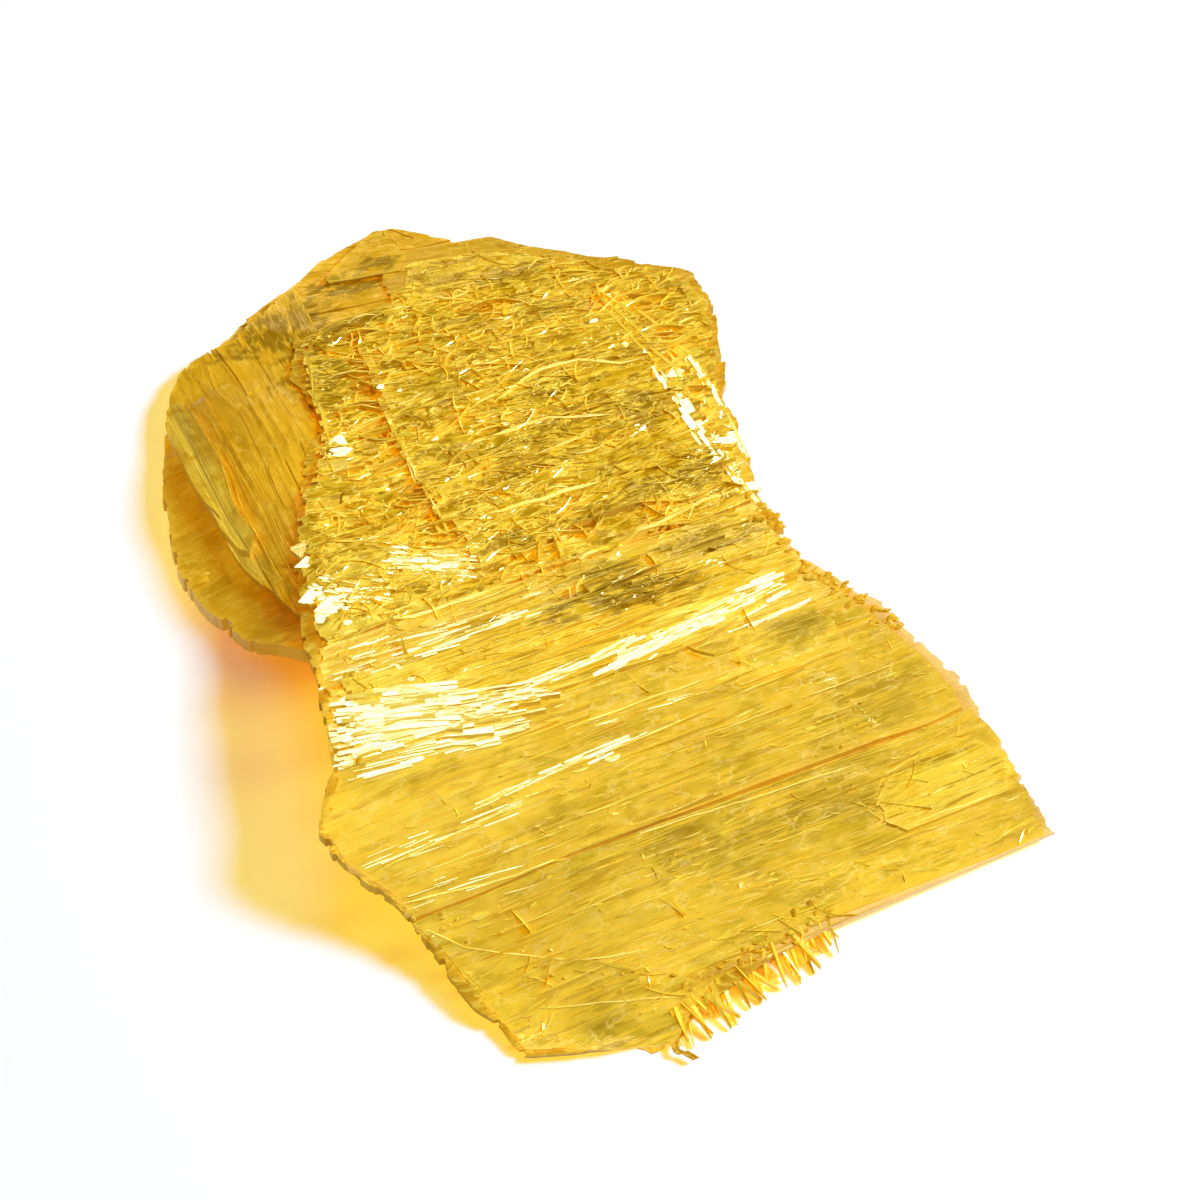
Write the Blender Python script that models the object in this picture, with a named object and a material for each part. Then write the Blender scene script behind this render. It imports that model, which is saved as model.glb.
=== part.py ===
# Orpiment cleavage flake, one natural piece: a bent plate of thin laminae, striated along its
# fold, with stepped lamina edges, splinters and ragged ends. It stands on two flat feet, one
# under its lower edge and one under its upper edge, with a low arch between them.
#
# Plan axes used below: "along" runs with the striae and "across" runs over the fold, both in
# millimetres from the middle of the flake. Meshes are written in metres, +Z up.

import math
import random

import bmesh
import bpy
from mathutils import Vector

# ---- driving dimensions, in millimetres and degrees ----
MM = 0.001
STRIAE_ANGLE = 24.0        # direction of the striae in plan, from +X towards +Y
CREST_ACROSS = -3.0        # where the fold's crest runs
CREST_LEFT = 6.2           # height of the crest at its left end
CREST_RIGHT = 4.3          # height of the crest at its right end
CREST_SPAN = (-14.0, 12.0)
LOWER_SLOPE = 0.35         # fall of the flat lower wing
BEND_RADIUS = 2.4          # how sharply the lower wing turns down
UPPER_CURVE = 0.0104       # fall of the rounded upper wing, per millimetre squared
CORNER_LIFT = 1.7          # how far the upper left corner curls up
SIDE_DROOP = 1.9           # how far the broken left side hangs down past that corner
DROOP_FROM = 10.5          # distance of the droop's start, left of the middle
TIP_DROOP = 1.1            # how far the lower left rim bends down
EDGE_HEIGHT = 0.95         # thickness left at the rim
PLATE_THICKNESS = 2.5      # whole stack of laminae at the crest
FOOT_SINK = 0.25           # how much the arch is flattened into the feet
STRIP_WIDTH = 0.95         # one striation ledge
RISER_WIDTH = 0.13
LEDGE_HEIGHT = 0.17        # largest step between neighbouring striae
EDGE_JAG = 0.55            # how far the ends of striae differ
LEFT_CROWDING = 1.2        # columns lie closer together at the left, where the plate bends most
UNDER_LEDGE = 0.10         # largest step between striae on the underside
SPLINTERS = 22
SPLINTER_LIFT = 0.42       # how far the broken end of a splinter stands up
SPLINTER_DEPTH = 0.5       # how deep it is rooted
PITS = 9
PIT_DEPTH = 0.34
SEED = 11

# ---- outlines: (across, along) points, from the lower tip to the upper edge ----
PLATE_LEFT = (
    (-21.6, -3.9), (-19.9, -5.8), (-19.5, -9.0), (-18.3, -12.3), (-13.8, -13.7),
    (-10.6, -14.9), (-8.0, -16.5), (-6.5, -16.7), (-3.9, -15.1), (4.8, -13.1),
    (7.5, -12.6), (14.1, -8.4), (17.4, -8.2), (20.4, -6.6), (22.6, -0.9),
)
PLATE_RIGHT = (
    (-21.6, -3.3), (-19.4, 0.5), (-18.3, 2.7), (-17.95, 13.8), (-15.4, 13.6),
    (-10.0, 12.7), (-5.3, 10.8), (-3.3, 9.4), (-1.2, 8.4), (1.9, 8.4),
    (6.9, 9.4), (13.3, 11.4), (15.3, 11.3), (18.0, 8.2), (21.5, 3.5), (22.6, -0.3),
)
BED_LEFT = (
    (-20.6, -4.6), (-18.6, -8.8), (-17.4, -11.4), (-10.4, -14.0), (-6.6, -15.8),
    (-3.6, -14.3), (-0.4, -13.2), (0.8, -14.0), (2.6, -15.4), (4.4, -16.4), (7.0, -17.0),
    (9.6, -17.2), (12.6, -16.4), (15.2, -15.6), (17.8, -14.4), (21.6, -9.9), (24.3, -1.6),
)
BED_RIGHT = (
    (-20.6, -3.9), (-18.9, 0.2), (-17.5, 2.4), (-17.2, 12.9), (-10.0, 11.9),
    (-5.0, 10.0), (-1.2, 7.7), (1.9, 7.8), (6.9, 8.8), (13.3, 10.6),
    (15.0, 10.6), (17.6, 7.6), (20.8, 3.0), (22.9, 0.9), (24.3, -1.0),
)

# ---- laminae above the bed: outline, and levels as shares of the local thickness ----
BED_LEVELS = (0.0, 0.46)
LAMINAE = {
    "body": {
        "left": PLATE_LEFT,
        "right": PLATE_RIGHT,
        "levels": (0.30, 0.66),
        "columns": 9,
    },
    "lower_wing": {
        "left": ((-11.3, -14.1), (-8.4, -15.7), (-6.6, -16.1), (-3.9, -14.8), (1.9, -13.5)),
        "right": ((-11.9, 12.6), (-10.0, 12.3), (-5.3, 10.3), (-3.3, 8.9), (1.4, 7.9)),
        "levels": (0.56, 0.82),
        "columns": 8,
    },
    "fan": {
        "left": ((-20.4, -5.4), (-19.0, -9.0), (-17.9, -11.6), (-15.6, -12.4), (-13.9, -12.8)),
        "right": ((-20.4, -4.6), (-19.0, -2.2), (-18.2, -3.4), (-15.6, -8.2), (-13.9, -11.2)),
        "levels": (0.42, 0.84),
        "columns": 5,
    },
    "upper_wing": {
        "left": (
            (1.2, -13.0), (4.8, -12.5), (7.6, -11.6), (12.6, -8.3),
            (14.4, -6.7), (18.4, -5.2), (20.0, -2.2),
        ),
        "right": (
            (1.6, 7.9), (6.9, 9.0), (13.2, 11.0), (15.1, 10.8), (17.8, 7.6), (20.0, 4.2),
        ),
        "levels": (0.56, 0.84),
        "columns": 8,
    },
    "crest_sheet": {
        "left": ((-5.9, -14.9), (-4.0, -14.0), (0.8, -13.1)),
        "right": ((-4.7, 2.9), (-2.6, 8.3), (-0.6, 7.6)),
        "levels": (0.74, 0.95),
        "columns": 6,
    },
    "top_sheet": {
        "left": ((2.1, -4.9), (8.2, -5.2), (14.4, -5.0), (16.4, -3.4)),
        "right": ((2.7, 7.2), (7.0, 8.3), (12.4, 7.9), (16.4, 6.0)),
        "levels": (0.76, 1.0),
        "columns": 6,
    },
    "window": {
        "left": ((-7.6, 2.7), (-4.7, 3.1)),
        "right": ((-7.3, 9.7), (-4.9, 9.0)),
        "levels": (0.74, 0.98),
        "columns": 3,
    },
    "side_panel": {
        "left": (
            (2.4, -12.4), (6.4, -14.2), (9.0, -14.7), (15.0, -14.7),
            (18.2, -14.3), (20.4, -12.0), (21.8, -8.6),
        ),
        "right": ((2.4, -9.4), (21.8, -6.4)),
        "levels": (0.20, 0.64),
        "columns": 6,
    },
    "side_sheet": {
        "left": ((7.2, -13.6), (8.4, -14.5), (10.2, -14.9), (17.0, -14.9), (18.6, -14.4), (19.2, -13.8)),
        "right": ((7.2, -13.2), (8.4, -12.9), (17.0, -12.9), (19.2, -13.2)),
        "levels": (0.30, 0.86),
        "columns": 2,
    },
    "corner_tab": {
        "left": ((21.3, -3.2), (22.2, -4.7), (23.8, -2.0)),
        "right": ((21.3, -1.0), (22.0, -0.6), (23.8, -1.3)),
        "levels": (0.36, 0.82),
        "columns": 2,
    },
    "chip": {
        "left": ((-16.1, 7.4), (-14.4, 6.6), (-13.0, 8.0)),
        "right": ((-15.7, 12.7), (-14.4, 13.3), (-13.0, 12.5)),
        "levels": (0.56, 0.98),
        "columns": 3,
    },
    "rear_ledge": {
        "left": ((17.2, -4.8), (19.6, -3.1), (21.4, -0.6)),
        "right": ((17.2, 7.4), (19.4, 4.6), (21.2, 1.6)),
        "levels": (0.56, 0.92),
        "columns": 4,
    },
}


# ---- the notch broken out of the upper laminae at the rear left corner: (along, across) ----
NOTCH = ((-5.0, 21.5), (-2.2, 20.2), (-1.7, 22.4), (-3.4, 24.6))
NOTCH_LEVEL = 0.5

# ---- torn fibres along the short lower right edge: root (along, across), length, width ----
TOOTH_ANGLE = -80.0
TEETH = (
    (-2.2, -18.9, 2.6, 0.45), (-1.2, -18.4, 2.2, 0.40), (-0.2, -18.0, 2.5, 0.45),
    (0.8, -17.5, 2.3, 0.38), (1.7, -17.1, 2.0, 0.42), (2.6, -16.8, 2.1, 0.36),
)


def clamp(value, low, high):
    return max(low, min(high, value))


def smooth(value):
    """Eased 0 to 1 ramp."""
    t = clamp(value, 0.0, 1.0)
    return t * t * (3.0 - 2.0 * t)


def read_outline(points, across):
    """The along value of an outline at one across value."""
    if across <= points[0][0]:
        return points[0][1]
    for (a0, b0), (a1, b1) in zip(points, points[1:]):
        if across <= a1:
            return b0 + (b1 - b0) * (across - a0) / (a1 - a0)
    return points[-1][1]


def top_height(along, across):
    """Height of the uppermost lamina: a fold with a flat lower wing and a rounded upper one."""
    from_crest = across - CREST_ACROSS
    if from_crest < 0.0:
        fall = LOWER_SLOPE * (math.hypot(from_crest, BEND_RADIUS) - BEND_RADIUS)
    else:
        fall = UPPER_CURVE * from_crest * from_crest
    share = smooth((along - CREST_SPAN[0]) / (CREST_SPAN[1] - CREST_SPAN[0]))
    crest = CREST_LEFT + (CREST_RIGHT - CREST_LEFT) * share
    curl = CORNER_LIFT * smooth((-along - 4.0) / 10.0) * smooth((across - 2.0) / 14.0)
    droop = SIDE_DROOP * smooth((-along - DROOP_FROM) / 7.0) * smooth((across - 1.0) / 5.0)
    droop += TIP_DROOP * smooth((-along - 5.0) / 8.0) * smooth((-across - 8.0) / 6.0)
    return max(EDGE_HEIGHT, (CREST_LEFT - fall) * crest / CREST_LEFT + curl - droop)


def under_height(along, across):
    """Height of the underside, which is flat at zero along the two feet."""
    raw = top_height(along, across) - PLATE_THICKNESS
    return 0.0 if raw < FOOT_SINK else raw - FOOT_SINK


def level_height(along, across, share):
    """A level inside the stack, as a share of the thickness there."""
    low = under_height(along, across)
    return low + (top_height(along, across) - low) * share


def to_world(along, across, height):
    """Plan axes turned into the object's frame, in metres."""
    turn = math.radians(STRIAE_ANGLE)
    x = along * math.cos(turn) - across * math.sin(turn)
    y = along * math.sin(turn) + across * math.cos(turn)
    return Vector((x * MM, y * MM, height * MM))


def to_plan(point):
    """The along and across values of a point in the object's frame."""
    turn = math.radians(STRIAE_ANGLE)
    x, y = point.x / MM, point.y / MM
    return x * math.cos(turn) + y * math.sin(turn), y * math.cos(turn) - x * math.sin(turn)


def stack_share(along, across):
    """The level of the highest lamina that covers a place."""
    share = BED_LEVELS[1]
    for form in LAMINAE.values():
        left, right = form["left"], form["right"]
        if not max(left[0][0], right[0][0]) <= across <= min(left[-1][0], right[-1][0]):
            continue
        if read_outline(left, across) <= along <= read_outline(right, across):
            share = max(share, form["levels"][1])
    return share


def surface_height(along, across):
    return level_height(along, across, stack_share(along, across))


def strip_lines(first, last, rng):
    """Two lines for each striation ledge, with its own step and its own ragged ends."""
    count = max(1, round((last - first) / STRIP_WIDTH))
    edges = [first + (last - first) * k / count for k in range(count + 1)]
    for k in range(1, count):
        edges[k] += rng.uniform(-0.2, 0.2) * STRIP_WIDTH
    lines = []
    for low, high in zip(edges, edges[1:]):
        step = rng.uniform(-1.0, 0.0) * LEDGE_HEIGHT
        tilt = rng.uniform(-0.4, 0.4) * LEDGE_HEIGHT
        jag_left = rng.uniform(-0.5, 0.5) * EDGE_JAG
        jag_right = rng.uniform(-0.5, 0.5) * EDGE_JAG
        for at, side in ((low + RISER_WIDTH / 2, -0.5), (high - RISER_WIDTH / 2, 0.5)):
            lines.append((at, step + tilt * side, jag_left, jag_right))
    return lines


def make_lamina(name, left, right, levels, columns, seed):
    """One closed slab of laminae: a grid laid between two outlines and extruded down."""
    rng = random.Random(seed)
    lines = strip_lines(max(left[0][0], right[0][0]), min(left[-1][0], right[-1][0]), rng)
    wander = [rng.uniform(-0.3, 0.3) for _ in range(columns + 1)]
    bm = bmesh.new()
    bmesh.ops.create_grid(bm, x_segments=columns, y_segments=len(lines) - 1, size=1.0)
    places = {}
    for vert in bm.verts:
        column = round((vert.co.x + 1.0) / 2.0 * columns)
        line = round((vert.co.y + 1.0) / 2.0 * (len(lines) - 1))
        across, step, jag_left, jag_right = lines[line]
        start = read_outline(left, across) + jag_left
        end = max(read_outline(right, across) + jag_right, start + 0.4)
        share = (column / columns) ** LEFT_CROWDING
        if 0 < column < columns:
            share += wander[column] / columns
        along = start + (end - start) * share
        top = level_height(along, across, levels[1])
        thickness = top - level_height(along, across, levels[0])
        places[vert.index] = (along, across)
        vert.co = to_world(along, across, top + clamp(step, -0.45 * thickness, 0.0))
    steps = {line[0]: line[1] for line in lines}
    grown = bmesh.ops.extrude_face_region(bm, geom=list(bm.faces))
    for vert in (item for item in grown["geom"] if isinstance(item, bmesh.types.BMVert)):
        along, across = to_plan(vert.co)
        height = level_height(along, across, levels[0])
        if levels[0] == 0.0 and height > 0.0:
            nearest = min(steps, key=lambda at: abs(at - across))
            height += UNDER_LEDGE * steps[nearest] / LEDGE_HEIGHT + UNDER_LEDGE
        vert.co.z = height * MM
    return finish_mesh(name, bm)


def finish_mesh(name, bm):
    bmesh.ops.recalc_face_normals(bm, faces=bm.faces)
    mesh = bpy.data.meshes.new(name)
    bm.to_mesh(mesh)
    bm.free()
    return bpy.data.objects.new(name, mesh)


def make_lath(name, root, tip, width, root_levels, tip_levels):
    """A six-sided splinter from root to tip, narrower and thinner at its tip."""
    direction = Vector((tip[0] - root[0], tip[1] - root[1])).normalized()
    side = Vector((-direction.y, direction.x))
    bm = bmesh.new()
    bmesh.ops.create_cube(bm, size=1.0)
    for vert in bm.verts:
        at_tip = vert.co.x > 0
        place = Vector(tip if at_tip else root) + side * vert.co.y * width * (0.45 if at_tip else 1.0)
        levels = tip_levels if at_tip else root_levels
        vert.co = to_world(place.x, place.y, levels[1] if vert.co.z > 0 else levels[0])
    return finish_mesh(name, bm)


def make_splinter(name, along, across, length, width, lift, swing):
    """A lath that lies along the striae: its root is buried, its broken end stands up."""
    ends = []
    for share in (-0.5, 0.5):
        place = (along + share * length, across + swing * length * share)
        ends.append((place, surface_height(*place)))
    (root, low), (tip, high) = ends
    return make_lath(
        name, root, tip, width,
        (low - SPLINTER_DEPTH, low - 0.12), (high - SPLINTER_DEPTH, high + lift),
    )


def make_tooth(name, along, across, length, width):
    """A fibre end that sticks out of the torn edge, just above the floor."""
    turn = math.radians(TOOTH_ANGLE)
    tip = (along + length * math.cos(turn), across + length * math.sin(turn))
    return make_lath(name, (along, across), tip, width, (0.12, 0.58), (0.10, 0.40))


def make_pit(name, along, across, length, width):
    """The hollow left where a short lath has broken out."""
    root = (along - length / 2, across)
    tip = (along + length / 2, across + 0.1 * length)
    floor = surface_height(along, across) - PIT_DEPTH
    return make_lath(name, root, tip, width, (floor, floor + 3.0), (floor + 0.12, floor + 3.0))


def make_notch(name):
    """A wedge above the notch, whose floor follows the laminae."""
    bm = bmesh.new()
    floor = [bm.verts.new(to_world(u, v, level_height(u, v, NOTCH_LEVEL))) for u, v in NOTCH]
    roof = [bm.verts.new(to_world(u, v, top_height(u, v) + 3.0)) for u, v in NOTCH]
    bm.faces.new(floor[::-1])
    bm.faces.new(roof)
    for k in range(len(NOTCH)):
        after = (k + 1) % len(NOTCH)
        bm.faces.new((floor[k], floor[after], roof[after], roof[k]))
    return finish_mesh(name, bm)


def scattered(count, upper_share, lengths, widths, seed):
    """Seeded places clear of the rim, most of them on the rough upper wing."""
    rng = random.Random(seed)
    places = []
    for k in range(count):
        upper = k < count * upper_share
        across = rng.uniform(2.5, 17.5) if upper else rng.uniform(-16.0, -1.0)
        length = rng.uniform(*lengths)
        left = read_outline(PLATE_LEFT, across) + 1.5 + length / 2
        right = read_outline(PLATE_RIGHT, across) - 1.5 - length / 2
        places.append((rng.uniform(left, right), across, length, rng.uniform(*widths)))
    return places


def orpiment_material():
    material = bpy.data.materials.new("orpiment")
    material.use_nodes = True
    shader = material.node_tree.nodes["Principled BSDF"]
    shader.inputs["Base Color"].default_value = (0.78, 0.45, 0.03, 1.0)
    shader.inputs["Roughness"].default_value = 0.3
    shader.inputs["Metallic"].default_value = 0.0
    return material


def combine(plate, guide, operation="UNION"):
    """Grow the plate by one more piece of itself, or break a piece out of it."""
    bpy.context.scene.collection.objects.link(guide)
    guide.hide_render = True
    guide.display_type = "WIRE"
    step = plate.modifiers.new(guide.name, "BOOLEAN")
    step.operation = operation
    step.solver = "MANIFOLD"
    step.object = guide


def centre_on_base(plate):
    """Shift every mesh so that the plate's box stands centred on the origin."""
    depsgraph = bpy.context.evaluated_depsgraph_get()
    evaluated = plate.evaluated_get(depsgraph)
    corners = [vert.co for vert in evaluated.to_mesh().vertices]
    low = [min(corner[axis] for corner in corners) for axis in range(3)]
    high = [max(corner[axis] for corner in corners) for axis in range(3)]
    evaluated.to_mesh_clear()
    shift = Vector(((low[0] + high[0]) / 2, (low[1] + high[1]) / 2, low[2]))
    for item in bpy.context.scene.objects:
        for vert in item.data.vertices:
            vert.co -= shift


def build():
    for item in list(bpy.data.objects):
        bpy.data.objects.remove(item, do_unlink=True)
    plate = make_lamina("orpiment_plate", BED_LEFT, BED_RIGHT, BED_LEVELS, 9, SEED)
    bpy.context.scene.collection.objects.link(plate)
    plate.data.materials.append(orpiment_material())
    for order, (name, form) in enumerate(LAMINAE.items()):
        combine(plate, make_lamina(
            name, form["left"], form["right"], form["levels"], form["columns"], SEED + 1 + order
        ))
    swings = random.Random(SEED + 70)
    for order, place in enumerate(scattered(SPLINTERS, 0.65, (3.5, 8.0), (0.5, 0.9), SEED + 50)):
        lift = SPLINTER_LIFT * swings.uniform(0.5, 1.0)
        swing = swings.uniform(-0.05, 0.05)
        combine(plate, make_splinter("splinter_%02d" % order, *place, lift, swing))
    for order, place in enumerate(TEETH):
        combine(plate, make_tooth("tooth_%d" % order, *place))
    for order, place in enumerate(scattered(PITS, 0.8, (1.6, 3.4), (0.6, 1.1), SEED + 90)):
        combine(plate, make_pit("pit_%d" % order, *place), "DIFFERENCE")
    combine(plate, make_notch("notch"), "DIFFERENCE")
    bpy.context.view_layer.update()
    centre_on_base(plate)


build()
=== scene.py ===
import math
import bpy
import numpy as np
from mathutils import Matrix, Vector
from mathutils.bvhtree import BVHTree


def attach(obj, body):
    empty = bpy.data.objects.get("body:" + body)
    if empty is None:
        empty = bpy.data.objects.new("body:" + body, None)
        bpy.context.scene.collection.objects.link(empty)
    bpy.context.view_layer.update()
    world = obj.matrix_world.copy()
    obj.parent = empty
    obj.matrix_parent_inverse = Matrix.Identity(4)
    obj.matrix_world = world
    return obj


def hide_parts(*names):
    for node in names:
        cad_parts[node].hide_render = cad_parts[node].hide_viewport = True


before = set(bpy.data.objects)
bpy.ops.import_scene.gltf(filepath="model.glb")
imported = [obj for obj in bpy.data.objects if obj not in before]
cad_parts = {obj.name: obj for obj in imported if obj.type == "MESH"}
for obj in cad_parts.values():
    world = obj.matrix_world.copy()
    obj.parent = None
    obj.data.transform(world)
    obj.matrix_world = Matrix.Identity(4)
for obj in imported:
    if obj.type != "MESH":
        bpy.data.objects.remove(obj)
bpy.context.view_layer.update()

mm = 0.001

# the bent plate that every lamina follows, in millimetres;
# "along" runs with the striae, "across" runs over the fold
fold = {
    "striaeAngle": 24.0,
    "middle": (-0.40, -0.02),    # middle of the plate's box, from the point where the axes cross
    "crestAcross": -3.0,
    "crestLeft": 6.2,
    "crestRight": 4.3,
    "crestFrom": -14.0,
    "crestTo": 12.0,
    "lowerSlope": 0.35,
    "bendRadius": 2.4,
    "upperCurve": 0.0104,
    "cornerLift": 1.7,           # how far the upper left corner curls up
    "cornerAlong": (4.0, 10.0),  # where this starts and the length over which it grows
    "cornerAcross": (2.0, 14.0),
    "sideDroop": 1.9,            # how far the left side hangs down past the corner
    "sideAlong": (10.5, 7.0),
    "sideAcross": (1.0, 5.0),
    "tipDroop": 1.1,             # how far the lower left rim bends down
    "tipAlong": (5.0, 8.0),
    "tipAcross": (8.0, 6.0),
    "edgeHeight": 0.95,
    "thickness": 2.5,
    "footSink": 0.25,
    "fanFrom": 2.0,              # above this the striae open out like a fan
    "fanPivot": -2.0,
    "fan": 0.011,
}


def smoothStep(value):
    t = np.clip(value, 0.0, 1.0)
    return t * t * (3.0 - 2.0 * t)


def ramp(distance, reach):
    # 0 up to the start of a bend, 1 where it is complete
    start, length = reach
    return smoothStep((distance - start) / length)


def topHeight(along, across):
    # uppermost lamina: flat lower wing, rounded upper wing, upper left corner curled up
    fromCrest = across - fold["crestAcross"]
    lower = fold["lowerSlope"] * (np.hypot(fromCrest, fold["bendRadius"]) - fold["bendRadius"])
    upper = fold["upperCurve"] * fromCrest ** 2
    fall = np.where(fromCrest < 0.0, lower, upper)
    share = smoothStep((along - fold["crestFrom"]) / (fold["crestTo"] - fold["crestFrom"]))
    crest = fold["crestLeft"] + (fold["crestRight"] - fold["crestLeft"]) * share
    curl = fold["cornerLift"] * ramp(-along, fold["cornerAlong"]) * ramp(across, fold["cornerAcross"])
    droop = fold["sideDroop"] * ramp(-along, fold["sideAlong"]) * ramp(across, fold["sideAcross"])
    droop += fold["tipDroop"] * ramp(-along, fold["tipAlong"]) * ramp(-across, fold["tipAcross"])
    height = (fold["crestLeft"] - fall) * crest / fold["crestLeft"] + curl - droop
    return np.maximum(fold["edgeHeight"], height)


def levelHeight(along, across, share):
    # a level inside the stack, 0 at the underside and 1 on top; the underside is flat at the feet
    top = topHeight(along, across)
    raw = top - fold["thickness"]
    low = np.where(raw < fold["footSink"], 0.0, raw - fold["footSink"])
    return low + (top - low) * share


def turnPlan(along, across, angle):
    cosine, sine = math.cos(math.radians(angle)), math.sin(math.radians(angle))
    return along * cosine - across * sine, along * sine + across * cosine


def placePlan(along, across):
    # from the axes of the striae to the frame's, still in millimetres
    x, y = turnPlan(along, across, fold["striaeAngle"])
    return x - fold["middle"][0], y - fold["middle"][1]


def fanOut(along, strip):
    # across value of a point on one stria
    return strip - fold["fan"] * np.maximum(strip - fold["fanFrom"], 0.0) * (along - fold["fanPivot"])


def fanIn(along, across):
    # the stria that passes through a point
    lean = fold["fan"] * (along - fold["fanPivot"])
    strip = (across - lean * fold["fanFrom"]) / (1.0 - lean)
    return np.where(strip > fold["fanFrom"], strip, across)


def valueNoise(x, y, seed):
    # smooth random field from -1 to 1, one bump per unit
    size = 256
    table = np.random.default_rng(seed).uniform(-1.0, 1.0, (size, size))
    column, row = np.floor(x).astype(int), np.floor(y).astype(int)
    fx, fy = smoothStep(x - column), smoothStep(y - row)
    left, right = column % size, (column + 1) % size
    low, high = row % size, (row + 1) % size
    near = table[low, left] * (1 - fx) + table[low, right] * fx
    far = table[high, left] * (1 - fx) + table[high, right] * fx
    return near * (1 - fy) + far * fy


# random fields: length in millimetres of one bump along and across, and the step from a piece's own seed
fields = {
    "wave": (5.0, 1.4, 3), "grit": (0.5, 0.22, 4), "lifted": (1.5, 1.5, 5), "lumps": (4.0, 0.5, 7),
    "sway": (2.6, 0.9, 8), "fray": (1.7, 0.3, 9), "torn": (2.4, 1.0, 10),
    "border": (1.7, 0.6, 5), "hairs": (0.6, 0.16, 6),
    "splinterCrowd": (1.8, 0.9, 0), "mirrorCrowd": (2.2, 1.5, 0),
}


def bumps(kind, along, across, seed=0):
    lengthAlong, lengthAcross, seedStep = fields[kind]
    return valueNoise(along / lengthAlong, across / lengthAcross, seed + seedStep)


def toPlan(along, strip, turn):
    # own axes of a lamina to plan axes; a turned lamina has straight fibres, the others follow the fan
    if turn:
        return turnPlan(along, strip, turn)
    return along, fanOut(along, strip)


def readOutline(points, strip):
    strips = np.array([p[0] for p in points])
    alongs = np.array([p[1] for p in points])
    return np.interp(strip, strips, alongs)


def ownOutline(points, turn):
    # an outline given as (across, along) put in terms of striae
    if turn:
        return sorted(points)
    return sorted((float(fanIn(np.float64(along), np.float64(across))), along) for across, along in points)


# how the laths of every lamina are laid: widths and lengths as shares of their mean, gaps and limits in
# millimetres, and how coarse and fine bumps and torn fibres make the ends ragged
laying = {
    "ledgeWidths": (0.5, 1.5), "fibreWidths": (0.5, 1.6), "lengths": (0.35, 1.65),
    "narrowest": 0.04, "gap": 0.018, "gapShare": 0.3, "shortest": 0.3,
    "edgeBumps": (2.1, 0.6), "fineShare": 0.4, "tornPower": 3, "startSeed": 30, "endSeed": 60,
}


def breakUp(rng, count, width, length):
    # cut a lath of so many columns at random lengths, and number the lengths
    step = width / count
    marks = np.zeros(count + 1, int)
    at = rng.uniform(0.0, length)
    while at < width:
        marks[min(count, int(at / step) + 1):] += 1
        at += rng.uniform(*laying["lengths"]) * length
    return marks


def layRows(first, last, ledge, fibre, rng):
    # two rows for each fibre, and the ledge that each fibre belongs to
    rows, ledges, fibres = [], [], []
    at, ledgeEnd, ledgeCount, fibreCount = first, first, -1, 0
    while at < last - laying["narrowest"] / 2:
        if at >= ledgeEnd:
            ledgeEnd = at + rng.uniform(*laying["ledgeWidths"]) * ledge
            ledgeCount += 1
        wide = rng.uniform(*laying["fibreWidths"]) * fibre
        end = min(at + wide, ledgeEnd, last)
        if end - at < laying["narrowest"]:
            end = min(at + laying["narrowest"], last)
        gap = min(laying["gap"], laying["gapShare"] * (end - at))
        rows += [at + gap, end - gap]
        ledges += [ledgeCount, ledgeCount]
        fibres += [fibreCount, fibreCount]
        fibreCount += 1
        at = end
    return np.array(rows), np.array(ledges), np.array(fibres)


def layRelief(rows, ledges, fibres, columns, width, form, rng):
    # heights of flat laths: broad ledges, then fibres, each broken along its length and slightly tipped
    relief = np.zeros((len(rows), columns + 1))
    for marks, depth, length, tip in (
        (ledges, form["ledgeStep"], form["ledgeLength"], form["ledgeTip"]),
        (fibres, form["fibreStep"], form["fibreLength"], form["fibreTip"]),
    ):
        for mark in range(marks.max() + 1):
            pick = np.nonzero(marks == mark)[0]
            if len(pick) == 0:
                continue
            parts = breakUp(rng, columns, width, length)
            heights = rng.uniform(-1.0, 0.0, parts.max() + 1) * depth
            tips = rng.uniform(-1.0, 1.0, parts.max() + 1) * tip
            lean = rows[pick] - rows[pick].mean()
            relief[pick] += heights[parts][None, :] + tips[parts][None, :] * lean[:, None]
    return relief


def addGrid(name, columns, rows):
    bpy.ops.object.select_all(action="DESELECT")
    bpy.ops.mesh.primitive_grid_add(x_subdivisions=columns, y_subdivisions=rows, size=2.0)
    piece = bpy.context.object
    piece.name = name
    piece.data.name = name
    return piece


def readPoints(piece):
    points = np.empty(len(piece.data.vertices) * 3)
    piece.data.vertices.foreach_get("co", points)
    return points.reshape(-1, 3)


def writePoints(piece, points):
    piece.data.vertices.foreach_set("co", np.ascontiguousarray(points, float).ravel())
    piece.data.update()


def raggedEdge(rows, ledges, fibres, form, rng, seed):
    # how far each row stops short of its outline: a wandering line, broken ledges and torn fibres
    level = np.full(len(rows), float(seed))
    coarse, fine = laying["edgeBumps"]
    wander = form["edgeWander"] * valueNoise(rows / coarse, level, seed)
    wander += laying["fineShare"] * form["edgeWander"] * valueNoise(rows / fine, level, seed + 1)
    steps = rng.uniform(0.0, 1.0, ledges.max() + 1)[ledges] * form["ledgeJag"]
    torn = rng.uniform(0.0, 1.0, fibres.max() + 1)
    return wander + steps + (torn ** laying["tornPower"])[fibres] * form["fibreJag"]


def twinOrder(points, under):
    # for each point, the top point that it was extruded from
    tops, lows = np.nonzero(~under)[0], np.nonzero(under)[0]
    twins = np.empty(len(points), int)
    sortedTops = tops[np.lexsort((points[tops, 0], points[tops, 1]))]
    sortedLows = lows[np.lexsort((points[lows, 0], points[lows, 1]))]
    twins[sortedTops] = sortedTops
    twins[sortedLows] = sortedTops
    return twins


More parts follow.
